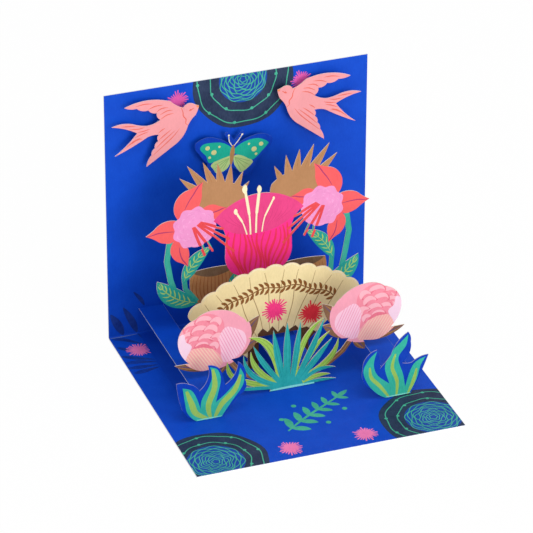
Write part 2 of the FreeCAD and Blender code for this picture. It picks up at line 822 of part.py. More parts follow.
NODES = """cover liner flower_sheet flower_strut fan fan_strut bud_spray agave tuft_left tuft_right
bird_left bird_right butterfly bird_pad_left bird_pad_right butterfly_pad""".split()
for item in doc.Objects:
    if "Invalid" in item.State or "Error" in item.State:
        raise RuntimeError(f"{item.Label} failed: {item.State}")
os.makedirs("parts", exist_ok=True)
for name in NODES:
    shape = doc.getObjectsByLabel(name)[0].Shape
    if shape.isNull() or not shape.isValid():
        raise RuntimeError(f"{name} has no valid shape")
    if len(shape.Solids) != 1:
        raise RuntimeError(f"{name} is {len(shape.Solids)} solids instead of one sheet")
    shape.exportStep(f"parts/{name}.step")
    print(name, "volume", round(shape.Volume, 1), "faces", len(shape.Faces))
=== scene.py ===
# %% [markdown]
# A pop-up card is two folded sheets, a white cover and a printed liner, with flat die-cut layers
# that stand on strips folded out of the liner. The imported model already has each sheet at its
# real size and place, so this script only adds what a printer adds: ink on one side, bare paper
# at every cut edge, and light. The model is loaded first, because all that follows is measured
# from it.
# %% Load the card
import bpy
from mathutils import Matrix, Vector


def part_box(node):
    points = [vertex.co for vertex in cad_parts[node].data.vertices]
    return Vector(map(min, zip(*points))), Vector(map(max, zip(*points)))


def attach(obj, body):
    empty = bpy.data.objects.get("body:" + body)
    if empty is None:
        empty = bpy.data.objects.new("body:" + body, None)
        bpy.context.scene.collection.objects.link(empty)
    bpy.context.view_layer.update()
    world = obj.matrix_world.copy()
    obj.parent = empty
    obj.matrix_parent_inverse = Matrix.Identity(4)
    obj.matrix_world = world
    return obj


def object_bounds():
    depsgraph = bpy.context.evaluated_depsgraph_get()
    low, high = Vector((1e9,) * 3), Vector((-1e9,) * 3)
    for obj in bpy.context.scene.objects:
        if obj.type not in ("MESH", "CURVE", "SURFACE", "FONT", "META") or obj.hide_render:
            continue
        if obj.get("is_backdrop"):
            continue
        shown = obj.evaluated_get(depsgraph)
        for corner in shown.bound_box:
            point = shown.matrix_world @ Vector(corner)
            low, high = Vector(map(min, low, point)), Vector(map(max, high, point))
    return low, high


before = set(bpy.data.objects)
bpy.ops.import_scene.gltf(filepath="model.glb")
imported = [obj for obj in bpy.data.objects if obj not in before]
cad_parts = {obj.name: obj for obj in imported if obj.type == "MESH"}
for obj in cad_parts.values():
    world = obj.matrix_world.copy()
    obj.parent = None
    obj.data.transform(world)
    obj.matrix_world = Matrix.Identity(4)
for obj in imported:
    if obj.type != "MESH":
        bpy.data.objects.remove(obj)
print(len(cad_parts), "sheets and pads:", ", ".join(sorted(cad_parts)))

# %% [markdown]
# The rest of the script works in millimetres, as a card maker does, and turns them into metres at
# the last step. Places across the card are measured from its middle, and heights from the inside
# of the base, which two sheets of paper lift by `INSIDE`. The art is drawn about an axis that
# lies a little to the right of the middle.
# %% Units and the model's own box
import math
import random

import bpy
from mathutils import Matrix, Vector
from mathutils.bvhtree import BVHTree
from mathutils.geometry import delaunay_2d_cdt

cad_box = [list(corner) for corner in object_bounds()]
MM = 0.001
INSIDE = 0.75
AXIS = 0.8
HALF_CARD = 66.5
PANEL = 133.0
BACK_FACE = HALF_CARD - INSIDE
STRIP_RISE = 13.9
print("card box in mm:", [[round(value / MM, 2) for value in corner] for corner in cad_box])

# %% [markdown]
# Nodes are made and joined by the same few lines again and again, so these helpers come first.
# `plain` turns a colour as it is read off paper, such as `#fb2f93`, into the linear numbers that
# a shader wants, and `wire` takes a row of links: from a node and its output to a node and its
# input.
# %% Node helpers
def plain(code):
    parts = [int(code[k : k + 2], 16) / 255 for k in (1, 3, 5)]
    return [p / 12.92 if p <= 0.04045 else ((p + 0.055) / 1.055) ** 2.4 for p in parts] + [1.0]


def add(tree, kind, values=None, **settings):
    node = tree.nodes.new("ShaderNode" + kind)
    for key, value in settings.items():
        setattr(node, key, value)
    for key, value in (values or {}).items():
        node.inputs[key].default_value = value
    return node


def wire(tree, *links):
    for source, output, target, socket in links:
        tree.links.new(source.outputs[output], target.inputs[socket])


def new_group(name, inputs, outputs):
    tree = bpy.data.node_groups.new(name, "ShaderNodeTree")
    for label, value in inputs.items():
        socket = tree.interface.new_socket(label, in_out="INPUT", socket_type="NodeSocketFloat")
        socket.default_value = value
    for label in outputs:
        tree.interface.new_socket(label, in_out="OUTPUT", socket_type="NodeSocketFloat")
    return tree, tree.nodes.new("NodeGroupInput"), tree.nodes.new("NodeGroupOutput")


print("hot pink as linear light:", [round(v, 3) for v in plain("#fb2f93")])

# %% [markdown]
# The picture on the card was painted in gouache and then printed, so each flat colour still has
# soft cloudy patches and long dry-brush streaks. Two noises do that: a broad one, and one
# stretched along the height of the card. They leave the group as one mask, with a fine height for
# the ink's surface.
# %% Gouache node group
GOUACHE, start, end = new_group("gouache", {"Patch": 120.0, "Streak": 1500.0}, ("Brush", "Height"))
place = add(GOUACHE, "TexCoord")
longways = add(GOUACHE, "Mapping", {"Scale": (1.0, 0.6, 0.35), "Rotation": (0.0, 0.5, 0.3)})
cloud = add(GOUACHE, "TexNoise", {"Detail": 2.0})
streak = add(GOUACHE, "TexNoise", {"Detail": 3.0, "Roughness": 0.6})
both = add(GOUACHE, "Math", operation="ADD")
half = add(GOUACHE, "MapRange", {"From Min": 0.6, "From Max": 1.4})
wire(GOUACHE, (place, "Object", cloud, "Vector"), (place, "Object", longways, "Vector"),
     (longways, "Vector", streak, "Vector"), (start, "Patch", cloud, "Scale"),
     (start, "Streak", streak, "Scale"), (cloud, "Fac", both, 0), (streak, "Fac", both, 1),
     (both, "Value", half, "Value"), (half, "Result", end, "Brush"), (streak, "Fac", end, "Height"))
print("gouache group:", [item.name for item in GOUACHE.interface.items_tree])

# %% [markdown]
# Bare card shows at the cut edges and on the backs. Up close it is a felt of fibres, so the
# second group puts out a speckle for the colour and a height of about a tenth of a millimetre
# across.
# %% Paper fibre node group
FIBRES, start, end = new_group("paper_fibres", {"Size": 5200.0}, ("Speckle", "Height"))
place = add(FIBRES, "TexCoord")
felt = add(FIBRES, "TexNoise", {"Detail": 4.0, "Roughness": 0.7, "Distortion": 0.8})
even = add(FIBRES, "MapRange", {"From Min": 0.3, "From Max": 0.7})
wire(FIBRES, (place, "Object", felt, "Vector"), (start, "Size", felt, "Scale"),
     (felt, "Fac", even, "Value"), (even, "Result", end, "Speckle"), (felt, "Fac", end, "Height"))
print("paper group:", [item.name for item in FIBRES.interface.items_tree])

# %% [markdown]
# A finish is one of the two groups with its own colours: the mask blends a low and a high colour,
# and the height gives a very shallow bump. Roughness is the same all over a sheet, so it is set
# on the shader itself. Ink is a little smoother than bare stock.
# %% Finishes
def finish(name, group, mask, low, high, roughness, bump):
    material = bpy.data.materials.new(name)
    material.use_nodes = True
    tree = material.node_tree
    shader = tree.nodes["Principled BSDF"]
    shader.inputs["Roughness"].default_value = roughness
    shader.inputs["Specular IOR Level"].default_value = 0.12
    texture = add(tree, "Group", node_tree=group)
    blend = add(tree, "Mix", data_type="RGBA")
    blend.inputs[6].default_value = plain(low)
    blend.inputs[7].default_value = plain(high)
    relief = add(tree, "Bump", {"Strength": bump, "Distance": 0.03 * MM})
    wire(tree, (texture, mask, blend, 0), (blend, 2, shader, "Base Color"),
         (texture, "Height", relief, "Height"), (relief, "Normal", shader, "Normal"))
    return material


def stock(name, low, high, roughness=0.75, bump=0.5):
    """Bare paper, board or foam between two colours of its fibres."""
    return finish(name, FIBRES, "Speckle", low, high, roughness, bump)


def tinted(code, share):
    """The colour moved a share of the way to white, or to black when the share is negative."""
    goal = 255 if share > 0 else 0
    parts = [int(code[k : k + 2], 16) for k in (1, 3, 5)]
    return "#" + "".join(f"{round(p + (goal - p) * abs(share)):02x}" for p in parts)


INKS = {}


def ink(name, code, depth=0.1):
    """A printed colour: written as it looks, with depth the strength of its brush marks."""
    low, high = tinted(code, -depth), tinted(code, 0.6 * depth)
    INKS[name] = finish("ink_" + name, GOUACHE, "Brush", low, high, 0.5, 0.2)


STOCK = stock("art_stock", "#d6c3ae", "#ecdfcf")
BIRD_STOCK = stock("bird_stock", "#ecc9c0", "#f7e4dc")
TUFT_STOCK = stock("tuft_stock", "#8a88b6", "#adabcd")
BLUE_EDGE_STOCK = stock("blue_edge_stock", "#2c4a9c", "#5a74b8")
BOARD = stock("cover_board", "#f4f3f1", "#fcfcfb", 0.7, 0.35)
FOAM = stock("foam", "#dcdcd8", "#f6f6f4", 0.9, 1.0)
print("bare finishes:", STOCK.name, BOARD.name, FOAM.name)

# %% [markdown]
# The cover and the liner are printed sheets too. Their ink lies on the side that faces up on the
# base and forwards on the back panel, the strips included, and it ends where the sheet was
# trimmed. The direction of each face and the distance to the trimmed edges say where there is
# ink, so the fold itself is printed, and no face has to be picked by hand. Under the strips,
# where the liner was cut away, the cover shows, and it has the same blue.
# %% Printed side of the folded sheets
BLUE = "#0447c6"
TURNED, TRIM = 0.3, 0.05


def printed_inside(material, code):
    tree = material.node_tree
    shader = tree.nodes["Principled BSDF"]
    bare = shader.inputs["Base Color"].links[0].from_node
    surface = add(tree, "NewGeometry")
    facing, spot = add(tree, "SeparateXYZ"), add(tree, "SeparateXYZ")
    wire(tree, (surface, "Normal", facing, "Vector"), (surface, "Position", spot, "Vector"))

    def test(operation, source, axis, limit):
        node = add(tree, "Math", {1: limit}, operation=operation)
        wire(tree, (source, axis, node, 0))
        return node

    def joined(operation, first, second):
        node = add(tree, "Math", operation=operation)
        wire(tree, (first, "Value", node, 0), (second, "Value", node, 1))
        return node

    up = joined("MINIMUM", test("GREATER_THAN", facing, "Z", TURNED),
                test("LESS_THAN", spot, "Z", (PANEL - TRIM) * MM))
    forwards = joined("MINIMUM", test("LESS_THAN", facing, "Y", -TURNED),
                      test("GREATER_THAN", spot, "Y", (TRIM - HALF_CARD) * MM))
    brush = add(tree, "Group", node_tree=GOUACHE)
    blues, choice = (add(tree, "Mix", data_type="RGBA") for _ in range(2))
    blues.inputs[6].default_value = plain(tinted(code, -0.05))
    blues.inputs[7].default_value = plain(tinted(code, 0.03))
    wire(tree, (brush, "Brush", blues, 0), (joined("MAXIMUM", up, forwards), "Value", choice, 0),
         (bare, 2, choice, 6), (blues, 2, choice, 7), (choice, 2, shader, "Base Color"))
    return material


BARE_LINER = stock("printed_liner", "#bcc3d8", "#d3d8e6", 0.5, 0.2)
LINER = printed_inside(BARE_LINER, BLUE)
COVER = printed_inside(BOARD, BLUE)
print("printed inside:", LINER.name, COVER.name)

# %% [markdown]
# Each sheet of the imported model keeps its shape and gets its finish: the cover is white board,
# the liner printed paper, the straps are cut from the liner's stock, and the die-cut layers are
# bare card, whose printed side is added below. The birds, the tufts and the butterfly have cut
# edges of their own tint.
# %% Finishes on the sheets
FINISH_OF = {"cover": COVER, "liner": LINER, "flower_strut": LINER, "fan_strut": LINER,
             "bird_left": BIRD_STOCK, "bird_right": BIRD_STOCK, "butterfly": BLUE_EDGE_STOCK,
             "tuft_left": TUFT_STOCK, "tuft_right": TUFT_STOCK}
for name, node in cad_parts.items():
    material = FOAM if "pad" in name else FINISH_OF.get(name, STOCK)
    if not node.material_slots:
        node.data.materials.append(material)
    for slot in node.material_slots:
        slot.material = material
    print(name, "->", material.name)

# %% [markdown]
# Everything on the card is drawn with outlines: closed lists of points in millimetres. The
# die-cut shapes were given as points with arcs between them, where the arc's height is a share of
# its chord. `bend` walks such an outline, `smooth` draws a round line through given points, and
# `rounded` closes such a line. `heading` gives the length of a line and its direction.
# %% Outline helpers
def heading(start, goal):
    length = math.dist(start, goal)
    return length, (goal[0] - start[0]) / length, (goal[1] - start[1]) / length


def bend(outline, steps=10):
    flat = []
    for (u, v, bulge), (next_u, next_v, _) in zip(outline, outline[1:] + outline[:1]):
        flat.append((u, v))
        if abs(bulge) < 0.005:
            continue
        chord, along_u, along_v = heading((u, v), (next_u, next_v))
        turn = 4 * math.atan(2 * bulge)
        radius = chord / 2 / math.sin(turn / 2)
        reach = bulge * chord - radius
        middle_u, middle_v = (u + next_u) / 2 + along_v * reach, (v + next_v) / 2 - along_u * reach
        for step in range(1, steps):
            a = turn * (step / steps - 0.5)
            ahead, aside = radius * math.sin(a), radius * math.cos(a)
            flat.append((middle_u + along_v * aside + along_u * ahead,
                         middle_v - along_u * aside + along_v * ahead))
    return flat


def through(points, steps):
    """A round line through all points but the first and the last, which only steer its ends."""
    line = []
    for a, b, c, d in zip(points, points[1:], points[2:], points[3:]):
        for step in range(steps):
            t = step / steps
            line.append(tuple(
                b[i] + 0.5 * t * (c[i] - a[i] + t * (2 * a[i] - 5 * b[i] + 4 * c[i] - d[i]
                                                     + t * (3 * (b[i] - c[i]) + d[i] - a[i])))
                for i in (0, 1)))
    return line


def smooth(points, steps=6):
    return through([points[0], *points, points[-1]], steps) + [points[-1]]


def rounded(points, steps=6):
    return through([points[-1], *points, *points[:2]], steps)


print("a round of four points:", len(rounded([(0, 0), (4, 0), (4, 4), (0, 4)])), "points")

# %% [markdown]
# Most marks are single brush strokes: a line with a width that swells and runs out. `stroke` puts
# a left and a right side along a smooth line. With `tail` at 1 it is an even line, and at 0 both
# ends are points. Discs, bursts and loops are the other marks that come back all over the card.
# %% Brush marks
def stroke(points, width, tail=0.2, steps=5):
    line = smooth(points, steps=steps)
    last = len(line) - 1
    left, right = [], []
    for k, (u, v) in enumerate(line):
        before, after = line[max(k - 1, 0)], line[min(k + 1, last)]
        length = math.dist(before, after) or 1.0
        side = width / 2 * (tail + (1 - tail) * math.sin(math.pi * k / last))
        du, dv = (after[0] - before[0]) / length * side, (after[1] - before[1]) / length * side
        right.append((u + dv, v - du))
        left.append((u - dv, v + du))
    return right + left[::-1]


def disc(u, v, radius, sides=16, tall=1.0):
    turns = [2 * math.pi * k / sides for k in range(sides)]
    return [(u + radius * math.cos(a), v + radius * tall * math.sin(a)) for a in turns]


def toward(root, degrees, run):
    a = math.radians(degrees)
    return (root[0] + run * math.cos(a), root[1] + run * math.sin(a))


def burst(u, v, radius, seed, spikes=24):
    """A spiky seed head: a small ragged disc with blunt spikes, all in one outline."""
    dice = random.Random(seed)
    points, step = [], 2 * math.pi / spikes
    for k in range(spikes):
        a, long = step * (k + dice.uniform(-0.2, 0.2)), dice.uniform(0.82, 1.14)
        for turn, reach in ((-0.5, dice.uniform(0.46, 0.64)), (-0.2, long), (0.2, long * 0.96)):
            points.append(toward((u, v), math.degrees(a + turn * step), radius * reach))
    return points


def loop(u, v, radius, width, waves=0, wobble=0.0, phase=0.0):
    """A wavy ring, as two half rings."""
    halves = []
    for first in (0, 24):
        line = []
        for k in range(first, first + 25):
            a = 2 * math.pi * k / 48
            reach = radius * (1 + wobble * math.sin(waves * a + phase))
            line.append((u + reach * math.cos(a), v + reach * math.sin(a)))
        halves.append(stroke(line, width, tail=1.0, steps=2))
    return halves


print("a burst has", len(burst(0, 0, 5, 1)), "points")

# %% [markdown]
# Leaves, petals and blades were cut with arcs from root to tip, a petal has shoulders and a long
# point, and a sword blade bends through its belly. `leaf`, `blade`, `petal` and `sword` repeat
# those outlines. `on_leaf` finds a point on a leaf by its share of the length and of the half
# width, so that veins follow the bend of the paper.
# %% Leaf helpers
def leaf(root, tip, width, bow=0.0):
    half = width / 2 / math.dist(root, tip)
    return bend([(*root, half + bow), (*tip, half - bow)])


def blade(root, tip, width, bow=0.0, swell=0.06):
    _, along_u, along_v = heading(root, tip)
    across_u, across_v = along_v * width / 2, -along_u * width / 2
    return bend([(root[0] + across_u, root[1] + across_v, swell + bow), (*tip, swell - bow),
                 (root[0] - across_u, root[1] - across_v, 0.2)])


def petal(root, tip, width, bow=0.0):
    length, along_u, along_v = heading(root, tip)
    corners = []
    for side in (1, -1):
        rise = width / 2 / length + side * bow
        out, run = side * 0.72 * rise * length, 0.7 * length
        corners.append((root[0] + along_u * run + along_v * out,
                        root[1] + along_v * run - along_u * out, 0.82 * rise))
    (*right, right_arc), (*left, left_arc) = corners
    return bend([(*root, right_arc), (*right, -0.04), (*tip, -0.04), (*left, left_arc)])


def sword(root, belly, tip, width):
    pull = [2 * b - (a + c) / 2 for a, b, c in zip(root, belly, tip)]
    right, left = [], []
    for k in range(13):
        s, r = k / 12, 1 - k / 12
        u, v = (r * r * a + 2 * s * r * b + s * s * c for a, b, c in zip(root, pull, tip))
        du, dv = (r * (b - a) + s * (c - b) for a, b, c in zip(root, pull, tip))
        share = 0.8 + 0.8 * s * r if k < 6 else 1 - 0.56 * (s - 0.5) - 2.88 * (s - 0.5) ** 2
        out = width / 2 * share / math.hypot(du, dv)
        right.append((u + dv * out, v - du * out))
        left.append((u - dv * out, v + du * out))
    return right + left[::-1]


def on_leaf(root, tip, width, bow, share, side=0.0):
    length, along_u, along_v = heading(root, tip)
    across = 4 * share * (1 - share) * (bow * length + side * width / 2)
    return (root[0] + along_u * share * length + along_v * across,
            root[1] + along_v * share * length - along_u * across)


print("middle of a bent leaf:", on_leaf((0, 0), (10, 0), 4, 0.1, 0.5))

# %% [markdown]
# Marks are moved and mirrored in bulk. A mark is a pair of an ink's name and an outline, and a
# print is a list of marks in painting order, the last one on top. `hatch` fills an outline with
# slanted lines that stop at its sides, which is how the outer petals of the buds are drawn.
# %% Moving and hatching marks
def moved(marks, u=0.0, v=0.0, scale=1.0, turn=0.0):
    cosine, sine = scale * math.cos(math.radians(turn)), scale * math.sin(math.radians(turn))
    return [(name, [(u + x * cosine - y * sine, v + x * sine + y * cosine) for x, y in outline])
            for name, outline in marks]


def mirrored(marks):
    return [(name, [(-x, y) for x, y in reversed(outline)]) for name, outline in marks]


def hatch(name, outline, degrees, spacing, width):
    cosine, sine = math.cos(math.radians(degrees)), math.sin(math.radians(degrees))
    turned = [(x * cosine + y * sine, y * cosine - x * sine) for x, y in outline]
    low, high = min(y for _, y in turned), max(y for _, y in turned)
    marks = []
    for k in range(1, int((high - low) / spacing)):
        level = low + k * spacing
        hits = []
        for (x0, y0), (x1, y1) in zip(turned, turned[1:] + turned[:1]):
            if (y0 - level) * (y1 - level) < 0:
                hits.append(x0 + (level - y0) / (y1 - y0) * (x1 - x0))
        for left, right in zip(sorted(hits)[::2], sorted(hits)[1::2]):
            if right - left > 2 * width:
                ends = [(left, level), ((left + right) / 2, level), (right, level)]
                marks.append((name, stroke([(x * cosine - y * sine, x * sine + y * cosine)
                                            for x, y in ends], width, tail=0.6, steps=2)))
    return marks


print("hatch lines on a square:", len(hatch("x", [(0, 0), (9, 0), (9, 9), (0, 9)], 45, 1, 0.4)))

# %% [markdown]
# Ink lies on one face of a sheet, so each print is a thin skin of coloured shapes, `LIFT` above
# the paper. All outlines of a print, and the cut edge of the sheet, go into one triangulation,
# which splits the face along every line. Each triangle takes the ink of the topmost mark over it,
# and triangles outside the sheet are dropped, so the print ends exactly at the die's cut.
# %% The printing helper
LIFT, NEAR, SQUARE_ON = 0.03, 0.05, 0.99


def printed(name, node, marks, ground=None, facing="front", level=None):
    """A skin of ink on the face of a node at a level in mm: front, across and up, or floor."""
    front = facing == "front"
    normal = Vector((0, -1, 0)) if front else Vector((0, 0, 1))
    axis, raised, drop = (1, -LIFT, INSIDE) if front else (2, LIFT, 0.0)
    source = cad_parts[node].data
    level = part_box(node)[0].y / MM if level is None else level
    faces = [face for face in source.polygons
             if face.normal.dot(normal) > SQUARE_ON and abs(face.center[axis] / MM - level) < NEAR]

    def flat(point):
        return (round(point.x / MM, 4), round((point.z if front else point.y) / MM - drop, 4))

    uses = {}
    for face in faces:
        ring = [flat(source.vertices[k].co) for k in face.vertices]
        for a, b in zip(ring, ring[1:] + ring[:1]):
            uses[frozenset((a, b))] = uses.get(frozenset((a, b)), 0) + 1
    rim = [tuple(edge) for edge, count in uses.items() if count == 1 and len(edge) == 2]
    places = sorted({point for edge in rim for point in edge})
    index = {point: k for k, point in enumerate(places)}
    edges = [(index[a], index[b]) for a, b in rim]
    outlines = []
    for _, outline in marks:
        sides = zip(outline, outline[1:] + outline[:1])
        area = sum(x0 * y1 - x1 * y0 for (x0, y0), (x1, y1) in sides)
        ordered = outline if area > 0 else outline[::-1]
        outlines.append(list(range(len(places), len(places) + len(ordered))))
        places += ordered
    cut, _, triangles, _, _, owners = delaunay_2d_cdt(
        [Vector(point) for point in places], edges, outlines, 0, 1e-4, True)
    seen = BVHTree.FromPolygons([v.co for v in source.vertices], [list(f.vertices) for f in faces])
    names = sorted({label for label, _ in marks} | ({ground} if ground else set()))
    kept, colours = [], []

    def in_space(u, v):
        across, other = u * MM, (v + drop) * MM
        return Vector((across, (level + raised) * MM, other) if front
                      else (across, other, (level + raised) * MM))

    for triangle, owner in zip(triangles, owners):
        u = sum(cut[k][0] for k in triangle) / 3
        v = sum(cut[k][1] for k in triangle) / 3
        label = marks[max(owner)][0] if owner else ground
        if label and seen.ray_cast(in_space(u, v) + normal * MM, -normal, 2 * MM)[0] is not None:
            kept.append(triangle)
            colours.append(names.index(label))
    used = sorted({k for triangle in kept for k in triangle})
    renamed = {k: n for n, k in enumerate(used)}
    mesh = bpy.data.meshes.new(name)
    mesh.from_pydata([in_space(*cut[k]) for k in used], [],
                     [[renamed[k] for k in triangle] for triangle in kept])
    for label in names:
        mesh.materials.append(INKS[label])
    mesh.polygons.foreach_set("material_index", colours)
    skin = bpy.data.objects.new(name, mesh)
    bpy.context.scene.collection.objects.link(skin)
    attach(skin, "root")
    print(name, len(marks), "marks,", len(kept), "triangles")
    return skin


# %% [markdown]
# The liner carries round medallions that run off its edges. Each is a near-black blue disc with
# two wavy mint rings, dots strung on them, and a rosette of many thin overlapping loops on a
# lighter blue. The loops are the same wave turned a little each time, as a spirograph draws them.
# %% Medallions
ink("medallion", "#20304e", 0.14)
ink("mint_line", "#3fb491", 0.14)
ink("rosette_blue", "#1546a6")


def medallion(u, v, radius, rings, rosette, seed):
    dice = random.Random(seed)
    edge = [toward((u, v), 7.5 * k, radius * (1 + 0.012 * math.sin(0.9 * k + seed)))
            for k in range(48)]
    marks = [("medallion", edge)]
    for reach in rings:
        phase = dice.uniform(0, 6)
        marks += [("mint_line", half) for half in loop(u, v, reach, 0.5, 9, 0.018, phase)]
        for k in range(9):
            at = toward((u, v), 40 * k + dice.uniform(-4, 4) + 30 * phase, reach)
            marks.append(("mint_line", disc(*at, 0.85, 8)))
    marks.append(("rosette_blue", disc(u, v, rosette * 1.06, 40)))
    for k in range(10):
        reach = rosette * (0.14 + 0.86 * k / 9)
        wave = 0.05 + 0.05 * (k < 6)
        marks += [("mint_line", half) for half in
                  loop(u, v, reach, 0.42, 5 + k // 3, wave, dice.uniform(0, 6))]
    return marks


print("marks in a medallion:", len(medallion(0, 0, 25, (17, 23), 12, 1)))

# %% [markdown]
# The back panel has one medallion at its top edge, a spiky pink seed head behind each bird, and
# the dark tips of a palm leaf beside the left strip.
# %% Back panel print
ink("seed_pink", "#f47cba")
ink("seed_magenta", "#e95cb0")
ink("palm_shadow", "#0a2f8c", 0.16)
back_marks = [
    ("palm_shadow", stroke([(-52.0, 0.5), (-54.4, 7.0), (-58.9, 15.8)], 3.6, 0.1)),
    ("palm_shadow", stroke([(-59.0, 0.5), (-61.6, 6.2), (-65.4, 13.0)], 4.2, 0.1)),
    ("palm_shadow", stroke([(-48.0, 15.0), (-50.0, 19.0), (-53.5, 23.5)], 2.0, 0.1)),
]
back_marks += medallion(3.0, 129.5, 25.5, (16.7, 22.9), 11.5, 3)
for u, v, seed in ((-29.9, 123.5, 5), (32.7, 124.0, 6)):
    back_marks.append(("seed_magenta", burst(u, v, 5.2, seed)))
printed("print_back_panel", "liner", back_marks, level=BACK_FACE)

# %% [markdown]
# The base has a medallion in each front corner, three seed heads, and the rest of the palm leaf,
# whose blades spread from under the left strip. Between the front corners lies a small mint
# sprig, a plain ornament of paired leaves. A pale line at the open end of the main fold is a
# painted highlight, where the rounded fold catches the light.
# %% Base print
# pale blue that stands for light on the rounded main fold: painted highlight
ink("worn_fold", "#5f7fc4", 0.2)
base_marks = []
for tip, middle, root in (
    ((-65.5, 64.0), (-59.1, 61.2), (-51.6, 54.0)), ((-65.6, 55.5), (-60.8, 52.0), (-51.6, 45.6)),
    ((-66.3, 47.0), (-60.0, 43.5), (-51.6, 39.3)), ((-66.3, 40.0), (-59.8, 39.6), (-51.6, 37.0)),
    ((-66.4, 35.4), (-60.3, 34.7), (-51.6, 34.2)), ((-65.1, 30.1), (-59.7, 30.7), (-51.6, 32.0)),
    ((-52.0, 65.4), (-50.6, 59.0), (-51.8, 50.0)),
):
    for shift in (-1.1, 0.0, 1.1):
        line = [(u, v + shift * part) for part, (u, v) in zip((0, 1, 0.5), (root, middle, tip))]
        base_marks.append(("palm_shadow", stroke(line, 0.8, 0.15)))
base_marks += medallion(-54.1, -57.2, 25.0, (16.6, 22.2), 13.0, 7)
base_marks += medallion(55.2, -54.7, 25.6, (16.8, 22.4), 13.0, 8)
for k, (u, v) in enumerate(((-17.7, -57.8), (19.7, -57.8), (-56.2, 50.1))):
    base_marks.append(("seed_pink", burst(u, v, 5.8, 20 + k)))
# painted highlight along the open end of the main fold
base_marks.append(("worn_fold", stroke([(-66.3, 65.0), (-60.0, 64.9), (-52.2, 65.1)], 0.9, 0.3)))
sprig_line = smooth([(-13.5, -43.5), (-5.5, -37.5), (3.0, -32.0), (11.5, -27.0), (20.5, -21.5)])
base_marks.append(("mint_line", stroke(sprig_line[::6], 1.4, 0.6)))
for k, share in enumerate((2, 6, 10, 14, 18, 22)):
    at, size = sprig_line[share], 9.6 - 0.7 * k
    for side in (-1, 1):
        tip = toward(at, 33 + side * 56, size)
        base_marks.append(("mint_line", leaf(at, tip, size * 0.4, 0.06 * side)))
base_marks.append(("mint_line", leaf(sprig_line[-3], (25.6, -18.2), 2.8)))
for u, v in ((-13.0, -33.0), (-3.5, -23.5), (7.0, -42.5), (18.5, -33.5)):
    base_marks.append(("mint_line", disc(u, v, 1.3, 12)))
printed("print_base", "liner", base_marks, facing="floor", level=INSIDE)

# %% [markdown]
# Each strip is creased where it turns from its top to its front. A thin pale line there, and one
# along each slit edge, is a painted highlight for the light that the fold and the cut edges catch,
# and it is what makes folded print look real.
# %% Painted highlights on the strip creases
# pale blue lines that stand for light on the folds and slit edges: painted highlight
ink("crease", "#5f7cc8", 0.25)
for side, place, width, reach in (
    ("left", -44.7, 12.5, 86.7), ("centre", 3.0, 18.6, 72.8), ("right", 46.5, 12.5, 97.0),
):
    front, left, right = BACK_FACE - reach, place - width / 2, place + width / 2
    # painted highlight along the strip's fold and its two slit edges
    fold = [(u, front + 0.15) for u in (left, place, right)]
    lines = [("crease", stroke(fold, 0.3, 0.7))]
    for edge in (left + 0.06, right - 0.06):
        lines.append(("crease", stroke([(edge, front), (edge, 65.0)], 0.14, 1.0)))
    printed(f"print_{side}_strip", "liner", lines, facing="floor",
            level=INSIDE + STRIP_RISE)

# %% [markdown]
# The tall layer is the busiest sheet, so its print is built up in parts. Behind all stand the
# palm fronds: plain tan, with a warm edge line on each blade, whose direction and share of the
# full length are listed. The edges are painted first and the tan over them, a little narrower, so
# that the lines stay only round the outside.
# %% Palm fronds
ink("frond_tan", "#b58358", 0.06)
ink("frond_edge", "#d9a06c")
ink("frond_line", "#a97548")
FROND_ROOT, FROND_LENGTH = (16.9, 75.5), 33.7
FROND = ((44, 0.94), (56, 1), (69, 0.91), (82, 0.81), (97, 0.75), (114, 0.66), (130, 0.56))
frond_marks = []
for label, width in (("frond_edge", 6.4), ("frond_tan", 5.0)):
    for degrees, share in FROND:
        tip = toward(FROND_ROOT, degrees, FROND_LENGTH * share)
        frond_marks.append((label, blade(FROND_ROOT, tip, width, swell=0.035)))
frond_marks.append(("frond_tan", disc(*FROND_ROOT, 16.4, 32)))
for degrees, share in FROND:
    middle = [toward(FROND_ROOT, degrees, reach) for reach in (15.0 + 3 * share, 29 * share)]
    frond_marks.append(("frond_line", stroke(middle, 0.35, 0.1)))
print(len(frond_marks), "frond marks")

# %% [markdown]
# Below the fronds hang the bowls, brown with a fluted side and a dark opening, and from behind
# them grow the stems and leaves. A leaf has a thin midrib and slanted lime veins on the teal. On
# the right side the bowl, the foot of the stems and the low leaf are a little lower.
# %% Bowls, stems and leaves
ink("bowl", "#b07a48")
ink("bowl_flute", "#94592f")
ink("bowl_dark", "#6b5138", 0.16)
ink("leaf_teal", "#1fa596", 0.14)
ink("stem_teal", "#36ab95")
ink("leaf_vein", "#a9cf62", 0.06)
RIGHT_DROP = 3.6


def bowl_print(drop):
    rim = 45.6 - drop
    marks = [("bowl", bend([(14.6, rim - 23.6, 0), (29.8, rim - 23.6, 0.13),
                            (35.4, rim + 0.8, 0.04), (9.0, rim + 0.8, 0.13)]))]
    for k in range(-6, 7):
        flute = [(22.2 + k * out, rim - down)
                 for out, down in ((1.05, 22), (1.9, 11.6), (1.75, 2.2))]
        marks.append(("bowl_flute", stroke(flute, 0.45, 0.3)))
    opening = [(10.6, 0.0), (16.0, -2.7), (22.4, -4.0), (28.6, -3.0), (33.4, -0.2), (28.0, 1.3),
               (22.2, 1.8), (15.0, 1.3)]
    marks.append(("bowl_dark", rounded([(u, rim + v) for u, v in opening])))
    return marks


def veined_leaf(root, tip, width, bow, pairs, midrib=0.5):
    marks = [("leaf_teal", leaf(root, tip, width * 1.05, bow))]
    rib = [on_leaf(root, tip, width, bow, share) for share in (0.06, 0.3, 0.55, 0.8, 0.94)]
    marks.append(("leaf_vein", stroke(rib, midrib, 0.3)))
    for k in range(pairs):
        share = 0.14 + 0.66 * k / (pairs - 1)
        for side in (-1, 1):
            line = [on_leaf(root, tip, width, bow, share + ahead, out * side)
                    for ahead, out in ((0.01, 0.03), (0.05, 0.34), (0.13, 0.7))]
            marks.append(("leaf_vein", stroke(line, 0.62, 0.25)))
    return marks


